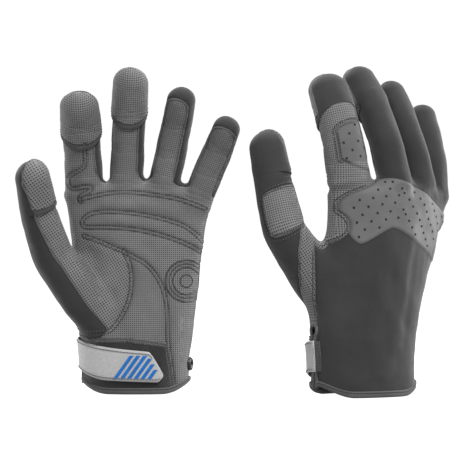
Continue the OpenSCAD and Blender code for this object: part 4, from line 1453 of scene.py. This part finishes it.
                sewn(f"{n}_hem_stitches_{k}", c["hood_" + n], level, keep, "dark_thread_and_groove_shade", n + "_hood", 1.3, False,
                     pitch=2.2, long=1.6, r=0.28)
            if n == "thumb":
                runs = clip_runs(contour(c["weave"]), v, n0, np.minimum(where[n], c["hood_" + n]), 0.9)
                cord("thumb_hood_piping", g, runs, "piping", n + "_hood", rounded(1.2, 0.8))
    tape = clip_runs(contour(c["loop"], 0.0), v, n0, np.minimum(palm, a["z"] - 33.5))
    cord("hem_tape", g, [(p, m) for p, m in tape], "binding", "hand", [(x * 1.0, y * 0.45) for x, y in rounded(3.6, 1.4)], 1.4, 2.0)
    for k, level in enumerate((-0.9, 1.1)):
        sewn(f"tape_stitches_{k}", c["loop"], level, np.minimum(palm, a["z"] - 33.5), "dark_thread_and_groove_shade", "hand", 0.6, False,
             pitch=2.3, long=1.6, r=0.26)
    return v, f, n0, a, c


SHELLS = swelling()
BUILT = [build(g) for g in (0, 1)]


# ---------------------------------------------------------------- cuff, strap, snap and badge
def ring_rows(g, rows):
    """A closed strip from rows of points: each row is one section."""
    k, m = len(rows[0]), len(rows)
    v = np.array(rows).reshape(-1, 3)
    i, j = np.meshgrid(np.arange(m - 1), np.arange(k), indexing="ij")
    i, j = i.ravel(), j.ravel()
    a, b = i * k + j, i * k + (j + 1) % k
    f = np.concatenate([np.stack([a, b, b + k], 1), np.stack([a, b + k, a + k], 1)])
    fan = np.arange(1, k - 1)
    o, last = np.zeros_like(fan), (m - 1) * k
    return v, np.vstack([f, np.stack([o, fan + 1, fan], 1), np.stack([o + last, fan + last, fan + 1 + last], 1)])


def hand_normal(g, z, u):
    e = 0.5
    p = hand_at(g, z, u)
    du, dz = hand_at(g, z, u + e) - hand_at(g, z, u - e), hand_at(g, z + e, u) - hand_at(g, z - e, u)
    n = np.cross(du, dz)
    return p, n / np.maximum(np.linalg.norm(n, axis=-1, keepdims=True), 1e-9)


def cuff(g):
    u = np.linspace(-180 + 4.6, 180 - 4.6, 150)
    profile = [(-2.3, 3.9), (-2.3, 0.9), (-1.6, 0.1), (-0.4, -0.1), (0.8, 0.1), (1.5, 0.9), (1.55, 2.4), (1.35, 3.9), (0.5, 4.6), (-0.6, 4.5)]
    rows = [[hand_at(g, max(z, 0.0), x, o) + (0, 0, min(z, 0)) for o, z in profile] for x in u]
    v, f = ring_rows(g, rows)
    f = outward(v, f)
    flat = np.stack([np.repeat(np.arange(len(u)) * 1.9, len(profile)), np.tile(np.arange(len(profile)) * 1.2, len(u))], -1)
    piece("cuff_edge", g, v, f, "binding", "hand", flat[f], None, ("cuff_binding",))
    p, n = hand_normal(g, np.full(150, 3.4), u)
    # painted shade: a dark cord under the cuff's stitches stands in for the shadow in their groove
    cord("cuff_stitch_line", g, [(p + n * 1.45, n)], "dark_thread_and_groove_shade", "hand", rounded(0.8, 0.3), 1.4, 2.0)
    beads("cuff_stitches", g, [(p + n * 1.45, n)], "mid_thread_and_groove_shade", "hand", pitch=2.4, long=1.6, r=0.28)


def edge(g, y, z, off=0.0):
    """A point on the thumb-side edge of the cuff, y round from the seam."""
    a, b = hand_a(z) + off, hand_b(z) + off
    s = np.maximum(0, 1 - (abs(y) / b) ** POWER) ** (1 / POWER)
    lean = smooth((z - 35) / 110)
    return np.stack([hand_x(g, z) - a * s, y + lean * (HAND[g][4] - HAND[g][2] + HAND[g][3]), z + 0 * y], -1)


def slit_edge(g):
    low = np.linspace(6.6, 42.6, 22)
    turn = np.radians(np.linspace(-62, 242, 26))
    y = np.concatenate([np.full(22, -2.1), -4.4 * np.cos(turn), np.full(22, 2.1)])
    z = np.concatenate([low, 47 + 4.4 * np.sin(turn), low[::-1]])
    p = edge(g, y, z)
    n = np.stack([-np.ones_like(y), 0.12 * y, 0.05 * np.ones_like(y)], -1)
    n /= np.linalg.norm(n, axis=1, keepdims=True)
    q, m = resample(p, n, 1.0)
    v, f = sweep(q, m, [(x * 1.0, y - 1.1) for x, y in rounded(2.6, 2.5)])
    piece("slit_edge", g, v, outward(v, f), "piping", "hand", None, None, ("slit_binding",))


STRAP_U = (186.0, 63.0)
STRAP_IN, STRAP_T = 1.95, 1.5


def strap_point(g, f, z, off):
    return hand_at(g, z, STRAP_U[0] + (STRAP_U[1] - STRAP_U[0]) * f, off)


def palm_point(g, x, z, off):
    """The point on the palm side of the strap at x across and z up."""
    s = (x - HAND[0][0]) / (hand_a(z) + off)
    u = np.degrees(np.arccos(np.clip(np.sign(s) * abs(s) ** (POWER / 2), -1, 1)))
    return hand_at(g, z, u, off)


def strap_edges(f):
    e = np.clip((f - 0.875) / 0.12, 0, 1)
    k = np.clip((f - 0.945) / 0.05, 0, 1)
    return 12.3 - 3.9 * f + 4.2 * k**1.5, 40 - 10.8 * f - 14.5 * e**1.15


def strap_tab(g):
    """The strip that sews the strap's root to the back of the cuff."""
    rows = []
    for q in np.linspace(-0.06, 0.05, 23):
        lo, hi = strap_edges(max(q, 0))
        z = np.linspace(lo + 0.5, hi - 0.5, 16)
        top = np.interp(q, (-0.06, -0.01, 0.02, 0.05), (0.9, 2.3, 2.2, 2.05))
        low = np.interp(q, (-0.06, -0.01, 0.02, 0.05), (0.1, 1.1, 1.3, 1.3))
        rows.append(np.vstack([strap_point(g, q, z, top), strap_point(g, q, z, low)[::-1]]))
    v, tri = ring_rows(g, rows)
    ends = [strap_point(g, q, np.array([26.0]), 2.4)[0] for q in (-0.013, 0.013)]
    piece("strap_tab", g, v, outward(v, tri), "hem", ("hand", "strap", ends[0], ends[1]))


def strap(g):
    n = 110
    f = np.linspace(0, 0.995, n)
    lo, hi = strap_edges(f)
    m = 18
    rows = []
    for k in range(n):
        z = np.linspace(lo[k], hi[k], m)
        t = np.linspace(-1, 1, m)
        crown = STRAP_IN + STRAP_T * (0.45 + 0.55 * (1 - abs(t) ** 9)) * (0.75 if k in (0, n - 1) else 1) + 0.1
        inner = np.full(m, STRAP_IN) + 0.15 * abs(t) ** 9
        rows.append(np.vstack([strap_point(g, f[k], z, crown), strap_point(g, f[k], z, inner)[::-1]]))
    v, tri = ring_rows(g, rows)
    tri = outward(v, tri)
    piece("wrist_strap", g, v, tri, "strap", "strap", None, None, ("strap",))
    strap_tab(g)
    paths = []
    for side, shift in ((0, 1.9), (1, -1.9)):
        q = np.linspace(0.015, 0.97 if side == 0 else 0.9, 160)
        z = strap_edges(q)[side] + shift
        p = strap_point(g, q, z, STRAP_IN + STRAP_T + 0.12)
        u = STRAP_U[0] + (STRAP_U[1] - STRAP_U[0]) * q
        paths.append((p, hand_normal(g, z, u)[1]))
    # painted shade: a darker cord under the strap's stitches stands in for the shadow in their groove
    cord("strap_stitch_line", g, paths, "mid_thread_and_groove_shade", "strap", rounded(0.7, 0.3), 1.4, 2.0)
    beads("strap_stitches", g, paths, "thread_light", "strap", pitch=2.2, long=1.5, r=0.3, lift=0.05)
    rows = []
    for q in np.linspace(0.56, 0.92, 40):
        a, b = strap_edges(q)
        z = np.linspace(a + 2.0, b - 2.2, 10)
        rows.append(np.vstack([strap_point(g, q, z, np.full(10, 1.9)), strap_point(g, q, z, np.full(10, 1.2))[::-1]]))
    v, tri = ring_rows(g, rows)
    piece("strap_hook", g, v, outward(v, tri), "loop", "strap", None, None, ("hook_patch",))
    parts = []
    for k in range(6):
        rows = []
        high = (1.0, 1.0, 1.0, 0.88, 0.64, 0.4)[k]
        for s in np.linspace(0, high, 24):
            x, z = np.linspace(0, 3.0, 5) - 12.9 + 4.9 * k + 12.2 * s, np.full(5, 10.9 + 17.0 * s)
            top = palm_point(g, x, z, STRAP_IN + STRAP_T + 0.28 + 0.05 * np.sin(np.linspace(0, np.pi, 5)))
            low = palm_point(g, x, z, np.full(5, STRAP_IN + STRAP_T - 0.1))
            rows.append(np.vstack([top, low[::-1]]))
        v, tri = ring_rows(g, rows)
        parts.append((v, outward(v, tri)))
    v, tri = join(parts)
    piece("strap_print", g, v, tri, "stripe", "strap", None, None, ("strap_stripes",))


def lathe(profile, n=48):
    """A ring of revolution about x: profile of (radius, x) pairs, closed."""
    a = np.linspace(0, 2 * np.pi, n, endpoint=False)
    r, x = np.array(profile).T
    v = np.stack([np.repeat(x[None], n, 0), np.outer(np.cos(a), r), np.outer(np.sin(a), r)], -1)
    k = len(profile)
    i, j = np.meshgrid(np.arange(n), np.arange(k), indexing="ij")
    i, j = i.ravel(), j.ravel()
    p, q = i * k + j, i * k + (j + 1) % k
    s, t = ((i + 1) % n) * k + (j + 1) % k, ((i + 1) % n) * k + j
    v = v.reshape(-1, 3)
    f = np.concatenate([np.stack([p, q, s], 1), np.stack([p, s, t], 1)])
    area = np.linalg.norm(np.cross(v[f[:, 1]] - v[f[:, 0]], v[f[:, 2]] - v[f[:, 0]]), axis=1)
    return v, outward(v, f[area > 1e-9])


def snap(g):
    x = float(hand_x(g, 20) + hand_a(20.0) + 0.1)
    if g == 0:
        profile = [(2.0, 0.0), (5.0, 0.0), (5.0, 0.8), (4.8, 1.5), (4.4, 2.1), (3.9, 2.4), (3.2, 2.3), (2.9, 1.9), (2.3, 1.8), (2.0, 1.5)]
    else:
        profile = [(0.0, 0.0), (5.0, 0.0), (4.9, 0.6), (4.4, 1.0), (2.8, 1.3), (1.9, 1.5), (1.7, 2.2), (1.95, 2.7), (1.7, 3.1), (1.0, 3.2), (0.0, 3.2)]
        profile = [(max(r, 0.02), q) for r, q in profile]
    v, f = lathe(profile)
    piece("snap_fastener", g, v @ rz(16).T + (x, 1.5, 20.5), f, "snap", "hand", None, None, ("snap",))


def badge(g, v, f, n, a):
    """Plain raised rings on the heel of the palm."""
    d = np.hypot(a["xc"] - 39.6, a["z"] - 81) + np.where(a["y"] > 0, 0, 60)
    parts = []
    for r, wide in ((15.0, 1.3), (9.8, 1.2), (4.6, 1.1), (12.4, 0.7)):
        for run in contours(v, f, d, r):
            p = along(run, v)
            got = resample(p, along(run, n), 0.8)
            if got is None:
                continue
            loop = np.linalg.norm(p[0] - p[-1]) < 0.5
            parts.append(sweep(*got, [(s * wide, t * 0.6 - 0.2) for s, t in rounded(1, 1)], loop))
    if parts:
        w, t = join(parts)
        piece("badge_rings", g, w, t, "rubber", "hand", None, None, ("grip_badge",))


def holes(g, v, f, n, a, c):
    """The punched dots of the knuckle panel and of the finger patch."""
    def dots(field, x, y, pitch, keep, radius):
        parts = []
        cx, cy = v[f].mean(1), None
        del cy
        fx, fy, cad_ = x[f], y[f], field[f].min(1)
        lo = np.floor(np.array([fx.min(), fy.min()]) / pitch)
        hi = np.ceil(np.array([fx.max(), fy.max()]) / pitch)
        near = np.flatnonzero((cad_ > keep) & (fx.max(1) - fx.min(1) < 6))
        px, py = fx[near].mean(1), fy[near].mean(1)
        del cx, lo, hi
        row = pitch * 0.5
        i, j = np.round(px / row), np.round(py / row)
        ok = (i + j) % 2 == 0
        seen = {}
        for k in np.flatnonzero(ok):
            key = (int(i[k]), int(j[k]))
            d = (px[k] - i[k] * row) ** 2 + (py[k] - j[k] * row) ** 2
            if d < 1.2 and (key not in seen or d < seen[key][0]):
                seen[key] = (d, near[k])
        for key, (d, k) in sorted(seen.items()):
            c0, m = v[f[k]].mean(0), n[f[k]].mean(0)
            m = m / np.linalg.norm(m)
            s = np.cross(m, (0, 0.2, 1.0))
            s /= np.linalg.norm(s)
            u = np.cross(m, s)
            ang = np.linspace(0, 2 * np.pi, 14, endpoint=False)
            circle = np.outer(np.cos(ang), s) + np.outer(np.sin(ang), u)
            rings = [(radius, -0.5), (radius, 0.16), (radius * 0.82, 0.16), (radius * 0.7, 0.05)]
            w = np.vstack([c0 + circle * r + m * o for r, o in rings] + [[c0 + m * 0.02], [c0 - m * 0.5]])
            t = []
            for q in range(3):
                for e in range(14):
                    a1, b1 = q * 14 + e, q * 14 + (e + 1) % 14
                    t += [(a1, b1, b1 + 14), (a1, b1 + 14, a1 + 14)]
            for e in range(14):
                b1 = (e + 1) % 14
                t += [(42 + e, 42 + b1, 56), (b1, e, 57)]
            t = np.array(t)
            parts.append((w, outward(w - w.mean(0), t)))
        return parts

    hand = np.minimum(c["knuckle"], -c["weave"])
    parts = dots(hand, a["arc"], a["z"] + 0.1 * a["arc"], 10.4, 2.4, 0.9)
    if parts:
        w, t = join(parts)
        piece("knuckle_holes", g, w, t, "hole", "hand")
    i = a["index"]
    x = ((i["phi"] + 360) % 360 - 270) * np.pi / 180 * i["r"]
    parts = dots(np.minimum(c["dee"], c["on_index"]), x, i["t"], 10.4, 2.0, 0.9)
    if parts:
        w, t = join(parts)
        piece("index_patch_holes", g, w, t, "hole", knee_zone(g, "index"))


for g in (0, 1):
    v, f, n, a, c = BUILT[g]
    cuff(g)
    slit_edge(g)
    strap(g)
    snap(g)
    badge(g, v, f, n, a)
    holes(g, v, f, n, a, c)


# ---------------------------------------------------------------- studio
def studio():
    mesh = bpy.data.meshes.new("floor")
    s = 30.0
    mesh.from_pydata([(-s, -s, 0), (s, -s, 0), (s, s, 0), (-s, s, 0)], [], [(0, 1, 2, 3)])
    floor = bpy.data.objects.new("floor", mesh)
    m = Nodes("studio_floor")
    out = m.t.nodes["Material Output"]
    glow = m.t.nodes.new("ShaderNodeEmission")
    glow.inputs["Color"].default_value = (1, 1, 1, 1)
    path = m.node("ShaderNodeLightPath")
    m.put(glow.inputs["Strength"], m.math("MULTIPLY_ADD", path.node.outputs["Is Camera Ray"], 0.8, 0.22))
    m.finish((0.3, 0.3, 0.3, 1), 0.9)
    add = m.t.nodes.new("ShaderNodeAddShader")
    m.t.links.new(m.bsdf.outputs[0], add.inputs[0])
    m.t.links.new(glow.outputs[0], add.inputs[1])
    m.t.links.new(add.outputs[0], out.inputs["Surface"])
    mesh.materials.append(m.m)
    bpy.context.scene.collection.objects.link(floor)
    floor.location.z = -0.0004
    floor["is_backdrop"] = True

    world = bpy.data.worlds.new("studio")
    world.use_nodes = True
    t = world.node_tree
    back = t.nodes["Background"]
    path = t.nodes.new("ShaderNodeLightPath")
    strength = t.nodes.new("ShaderNodeMath")
    strength.operation = "MULTIPLY_ADD"
    t.links.new(path.outputs["Is Camera Ray"], strength.inputs[0])
    strength.inputs[1].default_value = 0.75
    strength.inputs[2].default_value = 0.27
    back.inputs[0].default_value = (1, 1, 1, 1)
    t.links.new(strength.outputs[0], back.inputs[1])
    bpy.context.scene.world = world

    for name, place, size, power in (
        ("key", (0.55, -0.9, 1.2), 0.6, 19.0),
        ("fill", (-0.9, -1.2, 0.4), 0.8, 3.0),
        ("top", (0.05, 0.3, 1.3), 0.7, 13.0),
        ("left_rim", (-1.0, 0.5, 0.3), 0.6, 7.0),
        ("right_rim", (1.05, 0.5, 0.35), 0.6, 10.0),
    ):
        lamp = bpy.data.lights.new(name, "AREA")
        lamp.size, lamp.energy = size, power
        o = bpy.data.objects.new(name, lamp)
        bpy.context.scene.collection.objects.link(o)
        o.location = place
        o.rotation_euler = (Vector((0, 0, 0.12)) - Vector(place)).to_track_quat("-Z", "Y").to_euler()

    cam = bpy.data.cameras.new("camera")
    cam.sensor_width, cam.lens = 36.0, 173.9
    cam.clip_end = 80
    o = bpy.data.objects.new("camera", cam)
    bpy.context.scene.collection.objects.link(o)
    o.location = (-0.00504, -1.59567, 0.1177)
    o.rotation_euler = (np.pi / 2, 0, 0)
    bpy.context.scene.camera = o
    bpy.context.scene.view_settings.view_transform = "Standard"


studio()
plain = lambda b: [[float(x) for x in corner] for corner in b]
{"cad": plain(cad_box), "visual": plain(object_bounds())}
